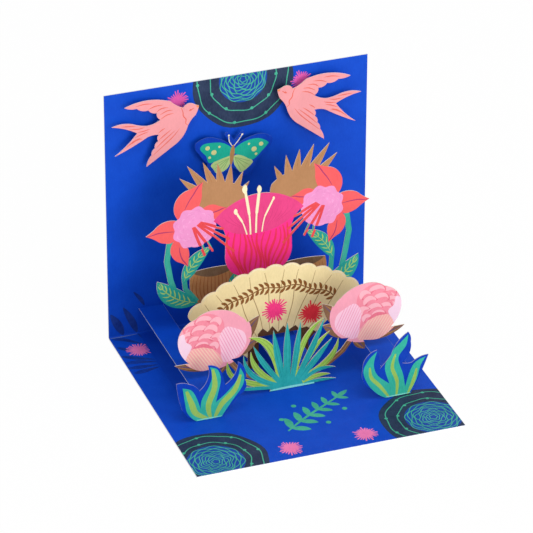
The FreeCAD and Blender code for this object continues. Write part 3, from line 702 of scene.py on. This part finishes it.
def greenery(drop):
    u, v = foot = (31.8, 29.1 - drop)
    stems = [[(45.1, 63.2), (46.4, 54.0), (44.6, 43.3), (u + 10.4, v + 5.8), foot],
             [(37.7, 41.8), (u + 5.4, v + 8.0), foot]]
    marks = [("stem_teal", stroke(line, 3.4, 1.0)) for line in stems]
    marks += [("leaf_teal", stroke([(x + 0.9, y) for x, y in line], 0.5, 0.3)) for line in stems]
    marks += veined_leaf((38.5, 39.8), (24.2, 58.0), 7.6, 0.1, 6, midrib=0.3)
    marks += veined_leaf((u - 1.0, v - 0.5), (u + 19.6, v + 14.7), 10.0, 0.13, 7)
    return marks + veined_leaf((15.5, 35.5), (9.0, 42.5), 4.6, -0.05, 3)


print(len(bowl_print(0)) + len(greenery(0)), "marks on a bowl and its greenery")

# %% [markdown]
# A hanging flower has four coral petals, each with a plum vein, a ruffled lilac middle, and five
# coral filaments that hang out of it. The right one is drawn and the left one is its mirror
# image, as the sheet itself is cut. The ruffles are short curls, paler and deeper than the lilac,
# laid over it by chance.
# %% Hanging flowers
ink("coral", "#f35e60", 0.05)
ink("coral_shade", "#f04a4e")
ink("plum_vein", "#b03468")
ink("lilac", "#f097cb", 0.05)
ink("lilac_pale", "#f5a8d6", 0.05)
ink("orchid", "#ea8bc4", 0.05)
BLOOM, BLOOM_UNIT = (32.2, 69.8), 1.02


def at(u, v):
    return (BLOOM[0] + u * BLOOM_UNIT, BLOOM[1] + v * BLOOM_UNIT)


bloom_marks = []
for root, degrees, share, wide, bow in (
    ((-2, 3), 160, 0.6, 0.72, 0.08), ((4, 1), -4, 0.82, 0.96, 0.02),
    ((9, -4), -109, 0.7, 0.7, -0.06), ((5, 3), 114, 0.92, 0.98, 0.13),
):
    root = at(*root)
    tip, width = toward(root, degrees, 25.0 * share), 12.4 * wide
    bloom_marks.append(("coral", petal(root, tip, width * 1.04, bow)))
    vein = [on_leaf(root, tip, width, bow, part, 0.12 * math.sin(7 * part))
            for part in (0.3, 0.5, 0.7, 0.86, 0.98)]
    bloom_marks.append(("plum_vein", stroke(vein, 0.6, 0.3)))
ruffle = [at(*toward((0, 0), 40 * k + 10 * j, reach))
          for k in range(9) for j, reach in enumerate((9.9, 10.7, 11.3, 10.7))]
bloom_marks.append(("lilac", rounded(ruffle, steps=2)))
dice = random.Random(4)
for k in range(46):
    turn, reach = dice.uniform(0, 360), 9.4 * dice.uniform(0.1, 1.0) ** 0.5
    curl = [at(*toward((0.6, 0), turn + ahead, reach + out))
            for ahead, out in ((-9, -0.3), (0, 0.3), (9, -0.3))]
    curl = stroke(curl, dice.uniform(0.3, 0.6), 0.1, 3)
    bloom_marks.append(("lilac_pale" if k % 3 else "orchid", curl))
filament_marks = []
for first, tip in (((-2.6, 2.4), (-13.6, -3)), ((-1.9, 1.9), (-16.6, -8.8)),
                   ((-1.2, 1.4), (-19, -15.8)), ((0.4, 0.4), (-8.6, -13.8)),
                   ((1.0, 0.4), (-4.6, -15.2))):
    belly = ((first[0] + tip[0]) / 2 + 0.3, (first[1] + tip[1]) / 2 + 0.3)
    filament_marks.append(("coral_shade", stroke([at(*first), at(*belly), at(*tip)], 1.5, 0.8)))
    filament_marks.append(("coral_shade", disc(*at(*tip), 0.8, 12)))
print(len(bloom_marks), "marks in a hanging flower")

# %% [markdown]
# The bell flower in the middle is hot pink with wavy red-pink stripes down its side. The opening
# is a duller pink, darker towards its throat, and four cream stamens rise from it. Its outline is
# the die's own, so the rim in print meets the rim in paper.
# %% Bell flower
ink("bell_pink", "#fd348f", 0.04)
ink("bell_stripe", "#ef3453", 0.05)
ink("bell_inner", "#ea4486", 0.06)
ink("bell_throat", "#de3c7b", 0.06)
ink("stamen", "#f8efc4", 0.05)
BELL_FOOT, BELL_UNIT_U, BELL_UNIT_V = 38.5, 0.458, 0.441
side = [(0, 0, 0.02), (16, 1, 0.1), (31, 9, 0.1), (37, 32, 0.02), (36, 50, -0.12), (50, 75, 0.11)]
far_side = [(-50, 75, -0.12), (-36, 50, 0.02), (-37, 32, 0.1), (-31, 9, 0.1), (-16, 1, 0.02)]


def on_bell(points):
    return [(u * BELL_UNIT_U, BELL_FOOT + v * BELL_UNIT_V) for u, v in points]


corners = [(*on_bell([(u, v)])[0], arc) for u, v, arc in side + [(0, 100, 0.11)] + far_side]
bell_marks = [("bell_pink", bend(corners))]
front_rim = smooth([(-50, 75), (-42, 67), (-34, 60), (-24, 54.5), (-10, 51.8), (5, 51.6), (18, 54),
                    (30, 59.5), (40, 66), (50, 75)])
back_rim = bend([(50, 75, 0.11), (0, 100, 0.11), (-50, 75, 0)])[1:20]
bell_marks.append(("bell_inner", on_bell(front_rim + back_rim)))
for k in range(-6, 7):
    line = []
    for share in (0.0, 0.2, 0.4, 0.6, 0.8, 1.0):
        spread, sway = 3.6 + 2.1 * math.sin(1.5 * share), 2.6 * math.sin(5.6 * share + 0.9 * k)
        line.append((k * spread + sway, 1 + share * (50 + 0.2 * k * k)))
    width = 1.15 + 0.3 * math.cos(2.3 * k)
    bell_marks.append(("bell_stripe", stroke(on_bell(line), width, 0.4, 3)))
for k in range(-7, 8):
    line = [(k * 2.4, 56 + 0.5 * abs(k)), (k * 4.6, 70), (k * 5.6, 88 - 1.5 * abs(k))]
    bell_marks.append(("bell_throat", stroke(on_bell(line), 0.3, 0.1)))
stamen_marks = []
for root, middle, head, thick, wide in (
    ((-9, 51), (-10.4, 76), (-15.1, 107.7), 1.0, 2.9),
    ((-3, 52), (-2.3, 76), (0.7, 104.8), 1.1, 2.9),
    ((-13, 51.6), (-18, 68), (-25.5, 82), 0.75, 1.9),
    ((3.5, 52), (7, 71), (16.5, 91), 0.7, 1.2),
):
    foot, belly, (u, v) = on_bell([root, middle, head])
    halfway = ((u + belly[0]) / 2, (v + belly[1]) / 2)
    stamen_marks += [("stamen", stroke([foot, belly, (u, v)], 0.85 * thick, 1.0)),
                     ("stamen", stroke([belly, halfway, (u, v)], 1.4 * thick, 0.9)),
                     ("stamen", leaf((u, v - 0.86 * wide), (u, v + 0.9 * wide), wide))]
print(len(bell_marks) + len(stamen_marks), "marks on the bell flower")

# %% [markdown]
# Now the tall layer goes through the press. The order is the one of the painting: fronds, bowls,
# greenery, petals, then the bell, its stamens, and the filaments over everything.
# %% Tall layer print
ink("trunk", "#4b3423", 0.12)
legs = [("trunk", [(-16, -1), (22, -1), (22, 40.5), (-16, 40.5)])]
right_side, left_side = (frond_marks + bowl_print(drop) + greenery(drop) + bloom_marks
                         for drop in (RIGHT_DROP, 0.0))
tall_marks = legs + right_side + mirrored(left_side) + bell_marks + stamen_marks
tall_marks += filament_marks + mirrored(filament_marks)
tall_marks = moved(tall_marks, u=AXIS)
printed("print_flower_sheet", "flower_sheet", tall_marks, ground="stem_teal")

# %% [markdown]
# The fan is cream with thin brown ribs that lean to its centre, and a dark toothed band above its
# legs: brown print, painted darker as shade. A pale line along each lobe's rim is a painted
# highlight. Two seed heads stand on it. Along the arc between them and the scallops runs a garland
# of small brown leaves, a plain ornament that fills the width of the fan.
# %% Fan print
ink("fan_cream", "#f4dfa6", 0.06)
ink("fan_rib", "#b58f5c", 0.12)
# brown of the print, darkened as painted shade low on the fan
ink("fan_band", "#5d3a22", 0.14)
# pale cream for the lit rims of the lobes: painted highlight
ink("fan_edge", "#f6e8c0")
ink("garland", "#8a5524", 0.1)
ink("seed_hot", "#ff3882")
ink("seed_red", "#fa343f")
FAN_CENTRE, FAN_LOBES, LOBE_STEP = (0.0, -6.6), 11, 8.36
fan_marks = []
# painted highlight: a pale line along each lobe's rim
for k in range(FAN_LOBES):
    lobe = [toward(FAN_CENTRE, 48.2 + LOBE_STEP * k + turn, reach)
            for turn, reach in ((-4, 59.8), (0, 61.5), (4, 59.8))]
    fan_marks.append(("fan_edge", stroke(lobe, 0.7, 0.3)))
for k in range(1, FAN_LOBES):
    rib = [toward(FAN_CENTRE, 44 + LOBE_STEP * k + 0.8 * math.sin(2.4 * k + reach / 5), reach)
           for reach in (58.6, 50, 41, 33, 25.5)]
    fan_marks.append(("fan_rib", stroke(rib, 0.42, 0.5)))
band = [(-13.4, -1), (18.4, -1), (23, 13.2), (16.6, 18.1), (12.8, 17.6), (10.9, 20.0),
        (7.2, 18.0), (4.7, 20.9), (1.9, 17.9), (-0.9, 21.7), (-3.3, 18.9), (-5.8, 21.3),
        (-8.4, 18.6), (-8.2, 14.4), (-13.4, 12.6)]
# the toothed band: brown print, darkened as painted shade
fan_marks.append(("fan_band", band))
directions = [52 + 3.15 * k for k in range(25)]
twig = [toward(FAN_CENTRE, degrees, 49.6 + 0.7 * math.sin(k))
        for k, degrees in enumerate(directions)]
for k, (degrees, node) in enumerate(zip(directions, twig)):
    if k < 24:
        fan_marks.append(("garland", stroke([node, twig[k + 1]], 0.6, 1.0)))
    for way in (-1, 1):
        tip = toward(node, degrees + 90 - 52 * way, 3.9 + 0.6 * math.cos(1.9 * k))
        fan_marks.append(("garland", leaf(node, tip, 1.5, 0.08 * way)))
for label, u, v, seed in (("seed_hot", 0.4, 30.5, 31), ("seed_red", 18.7, 25.2, 32)):
    fan_marks.append((label, burst(u, v, 6.6, seed)))
printed("print_fan", "fan", moved(fan_marks, u=AXIS), ground="fan_cream")

# %% [markdown]
# A bud is wrapped in big outer petals with fine hatching, and inside them the next petals show as
# scalloped rows, each with a dark arc above a light one. It is drawn in shares of the bud's half
# width and height, and then scaled. Its brown sepals and stems have a blue-violet vein.
# %% Buds
ink("sepal", "#80583a", 0.14)
ink("sepal_vein", "#53417a", 0.12)
ink("bud_pink", "#f4a0b1", 0.05)
ink("bud_pale", "#f8b3bd", 0.04)
ink("bud_blush", "#f7c4d3", 0.03)
ink("bud_salmon", "#f6a9a6", 0.04)
ink("bud_deep", "#f28b9c", 0.05)
ink("bud_red", "#ef7489")
ink("bud_lilac", "#f3cfe0", 0.03)
ink("hatch_rose", "#ee9db8", 0.03)
ink("hatch_cream", "#f6cdb4", 0.02)
BUD, BUD_HALF_U, BUD_HALF_V = (38.6, 34.6), 17.6, 15.4


def on_bud(points):
    return [(BUD[0] + u * BUD_HALF_U, BUD[1] + v * BUD_HALF_V) for u, v in points]


bud_marks = [("bud_pink", on_bud(disc(0, 0, 1.08, 36)))]
heart = [(-0.3, 0.5), (-0.06, 0.84), (0.3, 0.94), (0.64, 0.74), (0.86, 0.34), (0.76, -0.1),
         (0.5, -0.3), (0.1, -0.36), (-0.12, -0.7), (-0.24, -0.3)]
bud_marks.append(("bud_deep", on_bud(rounded(heart))))


def scale(u, v, wide, tall, turn):
    """One petal tip of the heart: a dome with a hollow foot."""
    dome = [(-0.5, -0.3), (-0.44, 0.2), (-0.1, 0.5), (0.26, 0.44), (0.5, 0.0), (0.46, -0.34),
            (0.0, -0.06)]
    shape = [(x * wide, y * tall) for x, y in dome]
    return on_bud(moved([("", rounded(shape, steps=4))], u, v, turn=turn)[0][1])


for u, v, wide, tall, turn in (
    (0.66, 0.6, 0.4, 0.3, -34), (0.28, 0.74, 0.44, 0.28, -4), (-0.08, 0.62, 0.32, 0.3, 30),
    (0.72, 0.26, 0.36, 0.28, -44), (0.4, 0.42, 0.44, 0.3, -10), (0.06, 0.38, 0.36, 0.3, 18),
    (0.54, 0.08, 0.36, 0.26, -20), (0.2, 0.1, 0.42, 0.28, 8), (-0.1, 0.06, 0.28, 0.3, 44),
    (0.34, -0.12, 0.36, 0.2, -6), (-0.02, -0.22, 0.28, 0.24, 36),
):
    bud_marks += [("bud_red", scale(u + 0.03, v - 0.02, wide * 1.02, tall * 1.12, turn + 6)),
                  ("bud_pale", scale(u, v, wide, tall, turn)),
                  ("bud_deep", scale(u + 0.06, v - 0.07, wide * 0.7, tall * 0.45, turn + 4))]
inner_petal = [(-0.38, 0.36), (-0.22, 0.2), (-0.16, -0.04), (-0.2, -0.42), (-0.26, -0.84),
               (-0.5, -0.86), (-0.82, -0.56), (-0.93, -0.26), (-0.86, 0.06), (-0.64, 0.24)]
outer_petal = [(0.08, -0.3), (0.34, -0.2), (0.58, -0.22), (0.76, -0.42), (0.86, -0.62),
               (0.5, -0.98), (0.1, -1.08), (-0.24, -0.94), (-0.18, -0.6)]
for label, outline, line_ink, degrees in (("bud_blush", inner_petal, "hatch_rose", 66),
                                          ("bud_salmon", outer_petal, "hatch_cream", 58)):
    outline = on_bud(rounded(outline))
    bud_marks += [(label, outline)] + hatch(line_ink, outline, degrees, 1.3, 0.5)
side_petal = [(0.84, 0.36), (1.02, 0.22), (1.06, -0.2), (0.84, -0.6), (0.74, -0.42), (0.62, -0.16),
              (0.66, -0.04), (0.78, 0.08)]
bud_marks.append(("bud_lilac", on_bud(rounded(side_petal))))
seam = [(0.02, -0.32), (0.28, -0.16), (0.58, -0.2)]
bud_marks.append(("bud_red", on_bud(stroke(seam, 0.13, 0.15))))
print(len(bud_marks), "marks on a bud")

# %% [markdown]
# The spray is printed brown all over first, so the stems and sepals need only their veins, and
# the buds cover the rest.
# %% Bud spray print
bud_base = (BUD[0] - 0.4 * BUD_HALF_U, BUD[1] - 0.8 * BUD_HALF_V)
spray_marks = []
for degrees, run, width, bow in ((127, 26.0, 7.8, 0.01), (150, 17.6, 6.7, 0.0),
                                 (-52, 10.1, 4.8, 0.0), (3, 26.5, 5.0, 0.08)):
    tip = toward(bud_base, degrees, run)
    for offset, label in ((0.0, "sepal_vein"), (0.45, "bowl")):
        vein = [on_leaf(bud_base, tip, width, bow, share, offset)
                for share in (0.05, 0.4, 0.7, 0.96)]
        spray_marks.append((label, stroke(vein, 0.55, 0.2)))
stem_line = [(6.0 + a * (bud_base[0] - 6.0), 3.3 + b * (bud_base[1] - 3.3))
             for a, b in ((1, 1), (0.8, 0.63), (0.57, 0.4), (0.3, 0.2), (0, 0))]
spray_marks.append(("bowl", stroke(stem_line, 0.7, 0.4)))
spray_marks += bud_marks
spray_marks = moved(spray_marks + mirrored(spray_marks), u=AXIS)
printed("print_bud_spray", "bud_spray", spray_marks, ground="sepal")

# %% [markdown]
# The clump in front is a fan of sword blades, teal and lime in turn. Each row has a blade's
# colour, its root, belly and tip as shares of the clump's half width and height, and its width.
# The blades repeat the cut outlines a little wider, lime below and teal above. Two darker lines
# along each are parts of the same outline drawn narrower, one from its right side and one from
# its left. A pale mint line at the glued foot is a painted highlight on the fold there.
# %% Blade clump print
ink("blade_teal", "#22a8a2", 0.12)
ink("blade_dark", "#178e8c")
ink("blade_lime", "#a0c850", 0.1)
ink("blade_olive", "#78a83e")
# pale mint that stands for light on the fold at a foot: painted highlight
ink("crease_mint", "#84e0d2")
CLUMP_HALF, CLUMP_TALL, CLUMP_FOOT, BLADE_WIDTH = 24.0, 36.8, 0.3, 5.0
BLADES = (
    ("teal", (-0.11, 0.07), (-0.11, 0.55), (-0.11, 0.99), 0.74),
    ("teal", (-0.17, 0.08), (-0.31, 0.52), (-0.4, 0.91), 0.64),
    ("teal", (-0.02, 0.06), (0.09, 0.56), (0.17, 0.97), 0.58),
    ("lime", (0.04, 0.1), (0.24, 0.65), (0.65, 0.96), 0.55),
    ("teal", (0.07, 0.09), (0.41, 0.54), (0.67, 0.96), 0.59),
    ("lime", (0.11, 0.13), (0.48, 0.54), (0.79, 0.75), 0.42),
    ("teal", (0.1, 0.06), (0.47, 0.35), (0.84, 0.64), 0.67),
    ("lime", (0.25, 0.13), (0.77, 0.33), (0.97, 0.62), 0.61),
    ("teal", (0.22, 0.08), (0.56, 0.2), (0.92, 0.19), 0.4),
    ("lime", (0.22, 0.05), (0.52, 0.11), (0.81, 0.1), 0.44),
    ("teal", (0.25, 0.02), (0.56, 0.04), (0.93, 0.02), 0.36),
    ("lime", (-0.26, 0.14), (-0.47, 0.65), (-0.92, 0.86), 0.77),
    ("teal", (-0.23, 0.09), (-0.6, 0.44), (-0.82, 0.73), 0.55),
    ("lime", (-0.29, 0.09), (-0.73, 0.36), (-0.87, 0.65), 0.59),
    ("teal", (-0.29, 0.07), (-0.83, 0.29), (-1.02, 0.61), 0.55),
    ("lime", (-0.43, 0.07), (-0.91, 0.19), (-1.29, 0.32), 0.59),
    ("lime", (-1.13, 0.26), (-1.31, 0.38), (-1.36, 0.56), 0.49),
    ("teal", (-0.4, 0.05), (-0.92, 0.1), (-1.29, 0.14), 0.39),
)
clump_marks = []
for shade, line_ink, extra in (("lime", "blade_olive", 0.8), ("teal", "blade_dark", 0.2)):
    for colour, *spine, wide in BLADES:
        if colour != shade:
            continue
        spine = [(u * CLUMP_HALF, CLUMP_FOOT + v * CLUMP_TALL) for u, v in spine]
        clump_marks.append(("blade_" + shade, sword(*spine, BLADE_WIDTH * wide + extra)))
        for narrower, first in ((0.62, 2), (0.3, 15)):
            line = sword(*spine, BLADE_WIDTH * wide * narrower)[first : first + 10]
            clump_marks.append((line_ink, stroke(line, 0.34, 0.3, 1)))
# painted highlight along the glued foot's fold
clump_marks.append(("crease_mint", stroke([(-11.2, 0.8), (0, 0.9), (11.2, 0.8)], 1.3, 0.4)))
printed("print_agave", "agave", moved(clump_marks, u=1.6), ground="blade_teal")

# %% [markdown]
# The two tufts on the side strips are printed the ground's blue first. On it stands one teal
# shape of three flames, a little inside the paper, and each flame has a lime heart. A flame has
# sharp tips and notches but soft sides, so its outline is made of smooth runs that meet in
# corners. A row has the tuft's place, the width of its hearts, its first point, its runs and its
# hearts.
# %% Tuft prints
ink("tuft_blue", "#0038b4")
ink("flame", "#2eb29a", 0.1)
ink("flame_lime", "#97c058", 0.08)


def flames(start, runs):
    """One closed outline of smooth sides that meet in sharp tips and notches."""
    outline = [start]
    for run in runs:
        outline += smooth([outline[-1]] + run)[1:]
    return outline


TUFTS = {
    "left": (-44.7, 3.0, (-6.6, -0.4), [
        [(-11.0, 5.2), (-12.2, 11.2), (-13.3, 19.4)], [(-9.0, 17.4), (-6.4, 12.6), (-4.5, 6.3)],
        [(-3.9, 11.2), (-0.4, 17.6), (1.4, 23.6), (0.2, 28.2)],
        [(4.0, 26.2), (5.6, 20.6), (4.4, 14.0), (3.1, 8.6)],
        [(8.0, 12.4), (13.4, 18.4), (15.2, 25.0)],
        [(17.2, 20.0), (16.2, 14.6), (10.6, 7.0), (5.8, 0.0)],
    ], [
        [(-1.0, 0.4), (-6.8, 4.4), (-9.0, 10.2), (-11.4, 17.4)],
        [(0.5, 0.0), (-0.6, 7.6), (2.6, 17.4), (1.6, 26.8)],
        [(2.4, 0.0), (6.0, 7.0), (12.4, 13.4), (15.4, 21.2)],
    ]),
    "right": (46.5, 1.9, (-7.2, -0.4), [
        [(-14.4, 7.4), (-18.0, 16.2), (-15.6, 22.4), (-11.3, 26.6)],
        [(-12.8, 19.6), (-10.8, 13.4), (-4.6, 7.5)],
        [(-7.1, 16.6), (-4.8, 24.0), (0.4, 29.0), (4.4, 32.8)],
        [(3.4, 27.0), (-0.4, 20.8), (2.2, 11.4), (3.4, 4.2)],
        [(5.8, 12.6), (8.6, 17.0), (13.6, 19.0)],
        [(11.0, 14.4), (9.2, 7.4), (5.6, 0.0)],
    ], [
        [(-4.4, -0.4), (-9.4, 7.0), (-13.9, 12.6), (-14.8, 18.4)],
        [(-1.0, -0.4), (-0.8, 8.2), (-3.4, 16.4), (-1.8, 23.4)],
        [(4.6, -0.4), (6.8, 4.6), (8.2, 9.0), (9.1, 13.4)],
    ]),
}
for side, (across, heart_width, first, runs, hearts) in TUFTS.items():
    tuft = [("flame", flames(first, runs))]
    tuft += [("flame_lime", stroke(heart, heart_width, 0.4)) for heart in hearts]
    # painted highlight along the tuft's folded foot
    tuft.append(("crease_mint", stroke([(-6.2, 0.45), (0, 0.45), (6.2, 0.45)], 0.6, 0.4)))
    tuft = moved(tuft, u=across, v=0.3)
    printed(f"print_tuft_{side}", f"tuft_{side}", tuft, ground="tuft_blue")

# %% [markdown]
# The birds are salmon with a few coral strokes: feathers that follow each wing and the tail, a
# wavy neck line, an eye and a small orange beak. The strokes are placed in hundredths of the
# bird's length. The right bird is the left one mirrored and tilted, as it was cut.
# %% Bird prints
ink("salmon", "#ee9ca0", 0.04)
ink("feather", "#ea6a5c", 0.08)
ink("beak", "#f28a4c")
BIRD_UNIT, BIRD_HEIGHT = 0.435, 111.8
FEATHERS = (
    ((-33, 32.5), (-23, 34), (-13, 33)), ((-18, 27), (-10, 29.5), (-1, 29.5)),
    ((-9, 22), (-3, 25.5), (5, 25.5)), ((-5, 18), (3, 21.5), (10, 21.5)),
    ((-5, 12), (3, 16.5), (11, 17.5)), ((-7, -4), (-3, -1), (1, 1)),
    ((-7, -13), (0, -7.5), (8, -2)), ((-11, -23), (0, -13.5), (13, -3.5)),
    ((-16, -32), (-2, -21), (10, -11), (18, -2)), ((-50, 11), (-41, 10), (-32, 9)),
    ((-40, 6.5), (-30, 5), (-22, 6)), ((-31, 1), (-23, 1.5), (-16, 3)),
    ((-34, -5), (-26, -2), (-18, 0)), ((-46, -17), (-35, -9), (-26, -6)),
    ((-38, -12), (-31, -8), (-25, -8)),
)
bird_marks = [("feather", stroke(list(line), 1.25, 0.1)) for line in FEATHERS]
neck = [(19.5, 23), (21.5, 17), (22, 12), (25, 7.5), (24.5, 3), (27, 0.5)]
bird_marks += [("feather", stroke(neck, 1.3, 0.4)),
               ("feather", stroke([(28.5, 17.4), (30.5, 18.0), (34.5, 20)], 1.4, 0.3)),
               ("feather", disc(30.5, 18.2, 1.25, 10)),
               ("beak", [(36.8, 24.4), (37.6, 19.6), (41, 21), (41, 23)])]
bird_marks = moved(bird_marks, scale=BIRD_UNIT)
for side, marks, across, tilt in (("left", bird_marks, -38.0, 0.0),
                                  ("right", mirrored(bird_marks), 35.6, -5.0)):
    bird = moved(marks, u=across, v=BIRD_HEIGHT, turn=tilt)
    printed(f"print_bird_{side}", f"bird_{side}", bird, ground="salmon")

# %% [markdown]
# The butterfly keeps a blue margin too. Its upper wings are teal with cream dots, its lower wings
# lime with fine rays, and its body is a brown spindle.
# %% Butterfly print
ink("wing_teal", "#16ae92", 0.08)
ink("wing_lime", "#b7d186", 0.06)
ink("wing_ray", "#7fae62")
ink("wing_dot", "#d5d48e", 0.06)
ink("moth_body", "#b1804c")
LOWER_WINGS = (
    [(-5.2, 91.6), (-11, 90.6), (-14.7, 88.3), (-13.7, 86), (-11.8, 83.3), (-7.9, 84),
     (-5.3, 86.8)],
    [(-2.4, 91.6), (3.4, 89.6), (6.4, 87), (6.1, 85.6), (3.2, 83), (0.6, 81.8), (-0.7, 82.9),
     (-3.1, 87.3)],
)
RAYS = (
    ((-5.4, 90.6), ((-13.4, 87.8), (-12.8, 85.8), (-11.2, 84.2), (-8.6, 84.8))),
    ((-2.8, 90.6), ((5.6, 86.8), (4.8, 85.0), (2.8, 83.6), (0.4, 83.0))),
)
UPPER_WINGS = (
    [(-4.2, 95.6), (-8.5, 99.1), (-14, 100.2), (-18.2, 100.1), (-20.1, 98.4), (-19.5, 96.4),
     (-17.2, 93.6), (-16.6, 91.4), (-15, 89.4), (-9, 90.8), (-4.6, 92.2)],
    [(-2.6, 95.1), (1.2, 97.6), (6.1, 98.8), (10.3, 98.4), (14.4, 95.9), (13.9, 94.3), (11, 91.3),
     (8.7, 89), (6.1, 87.7), (1.6, 90.4), (-2.7, 92.6)],
)
wing_marks = [("wing_lime", rounded(wing)) for wing in LOWER_WINGS]
wing_marks += [("wing_ray", stroke([root, tip], 0.35, 0.3)) for root, tips in RAYS for tip in tips]
wing_marks += [("wing_teal", rounded(wing)) for wing in UPPER_WINGS]
for u, v, size in ((-16.4, 97.6, 1.15), (-13.2, 94.8, 1.35), (-15.4, 92.4, 0.7),
                   (10.8, 95.4, 1.15), (7.2, 93.2, 1.35), (8.2, 90.4, 0.7),
                   (-10.4, 97.4, 0.6), (4.6, 96.4, 0.6)):
    wing_marks.append(("wing_dot", disc(u, v, size, 12)))
for middle, tip in (((-5.4, 99.6), (-5.6, 102.7)), ((-0.8, 99.2), (1.2, 102.2))):
    wing_marks.append(("stamen", stroke([(-3.6, 96.2), middle, tip], 0.4, 0.6)))
    wing_marks.append(("stamen", disc(*tip, 0.5, 8)))
wing_marks.append(("moth_body", stroke([(-3.4, 97.2), (-3.9, 92.6), (-4.6, 86.6)], 2.3, 0.25)))
printed("print_butterfly", "butterfly", wing_marks, ground="tuft_blue")

# %% [markdown]
# A card is photographed on a white sweep, which throws back so much light that the ground nearly
# vanishes. The floor here is a plain white plane. Seen by the camera it adds a little light of
# its own, so it stays white while the card's soft shadow still lies on it, and no extra light
# reaches the card.
# %% Floor
FLOOR_HALF, GLOW_SHARE = 4, 0.97
floor_mesh = bpy.data.meshes.new("floor")
floor_corners = [(u * FLOOR_HALF, v * FLOOR_HALF, 0)
                 for u, v in ((-1, -1), (1, -1), (1, 1), (-1, 1))]
floor_mesh.from_pydata(floor_corners, [], [(0, 1, 2, 3)])
floor = bpy.data.objects.new("floor", floor_mesh)
bpy.context.scene.collection.objects.link(floor)
floor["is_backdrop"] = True
sweep = bpy.data.materials.new("white_sweep")
sweep.use_nodes = True
tree = sweep.node_tree
shader = tree.nodes["Principled BSDF"]
shader.inputs["Roughness"].default_value = 0.9
shader.inputs["Specular IOR Level"].default_value = 0.1
grain = add(tree, "TexNoise", {"Scale": 3.0})
tint = add(tree, "Mix", data_type="RGBA")
tint.inputs[6].default_value = plain("#f2f2f2")
tint.inputs[7].default_value = plain("#f7f7f7")
glow = add(tree, "Emission", {"Color": (1, 1, 1, 1), "Strength": 1.0})
rays = add(tree, "LightPath")
seen_by, seen_through = (add(tree, "Math", operation="MAXIMUM") for _ in range(2))
seen_share = add(tree, "Math", {1: GLOW_SHARE}, operation="MULTIPLY")
blend = add(tree, "MixShader")
wire(tree, (grain, "Fac", tint, 0), (tint, 2, shader, "Base Color"),
     (rays, "Is Camera Ray", seen_by, 0), (rays, "Is Glossy Ray", seen_by, 1),
     (seen_by, "Value", seen_through, 0), (rays, "Is Transmission Ray", seen_through, 1),
     (seen_through, "Value", seen_share, 0), (seen_share, "Value", blend, 0),
     (shader, "BSDF", blend, 1), (glow, "Emission", blend, 2),
     (blend, "Shader", tree.nodes["Material Output"], "Surface"))
floor_mesh.materials.append(sweep)
print("floor reaches", floor.dimensions.x, "m")

# %% [markdown]
# The light is soft. It comes from the front right, so that the layers shade the back panel to
# their left, and from above. A pale surround fills the rest, and the camera sees it as plain
# white. `lamp` turns a round lamp's local -Z towards its target.
# %% Light
SURROUND, CARD_MIDDLE = 0.66, (0, 0, 0.05)
scene = bpy.context.scene
world = bpy.data.worlds.new("studio")
scene.world = world
world.use_nodes = True
tree = world.node_tree
surround = tree.nodes["Background"]
surround.inputs["Color"].default_value = (1, 1, 1, 1)
surround.inputs["Strength"].default_value = SURROUND
white = add(tree, "Background", {"Color": (1, 1, 1, 1), "Strength": 1.0})
rays = add(tree, "LightPath")
blend = add(tree, "MixShader")
wire(tree, (rays, "Is Camera Ray", blend, 0), (surround, "Background", blend, 1),
     (white, "Background", blend, 2), (blend, "Shader", tree.nodes["World Output"], "Surface"))


def lamp(name, place, target, size, power):
    light = bpy.data.lights.new(name, "AREA")
    light.shape = "DISK"
    light.size = size
    light.energy = power
    holder = bpy.data.objects.new(name, light)
    holder.location = place
    holder.rotation_euler = (Vector(target) - Vector(place)).to_track_quat("-Z", "Y").to_euler()
    scene.collection.objects.link(holder)
    return holder


key = lamp("key_light", (0.8, -2.1, 0.6), CARD_MIDDLE, 1.5, 25.0)
top = lamp("top_light", (0.3, -1.0, 2.2), CARD_MIDDLE, 1.4, 16.0)
scene.view_settings.view_transform = "Standard"
print("lamps:", key.name, top.name)

# %% [markdown]
# The camera stands to the left of the card and looks down on it by thirty degrees, from far
# enough away that the card's sides stay almost parallel. Its place, direction and lens were
# worked out from the corners of the two panels, so the three axes of the camera are written into
# its matrix.
# %% Camera
CAMERA_PLACE, LENS_MM = (-0.5296, -1.42995, 0.92925), 251.96
turn, lift, roll = (math.radians(value) for value in (-20.013, 29.589, 0.181))
back = Vector((math.sin(turn) * math.cos(lift), -math.cos(turn) * math.cos(lift), math.sin(lift)))
right = (-back).cross(Vector((0, 0, 1))).normalized()
above = right.cross(-back)
across_frame = right * math.cos(roll) + above * math.sin(roll)
up_frame = above * math.cos(roll) - right * math.sin(roll)
lens = bpy.data.cameras.new("camera")
lens.lens = LENS_MM
lens.sensor_width = 36.0
lens.clip_end = 20.0
camera = bpy.data.objects.new("camera", lens)
frame_axes = Matrix((across_frame, up_frame, back)).transposed().to_4x4()
camera.matrix_world = Matrix.Translation(CAMERA_PLACE) @ frame_axes
scene.collection.objects.link(camera)
scene.camera = camera
print("camera at", [round(value, 4) for value in camera.location])

# %% [markdown]
# Nothing that was added may change the card's size.
# %% Sizes and finish
bpy.context.view_layer.update()
dressed_box = [list(corner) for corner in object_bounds()]
change = max(abs(a - b) for x, y in zip(cad_box, dressed_box) for a, b in zip(x, y)) / MM
print("largest change of the box in mm:", round(change, 3))
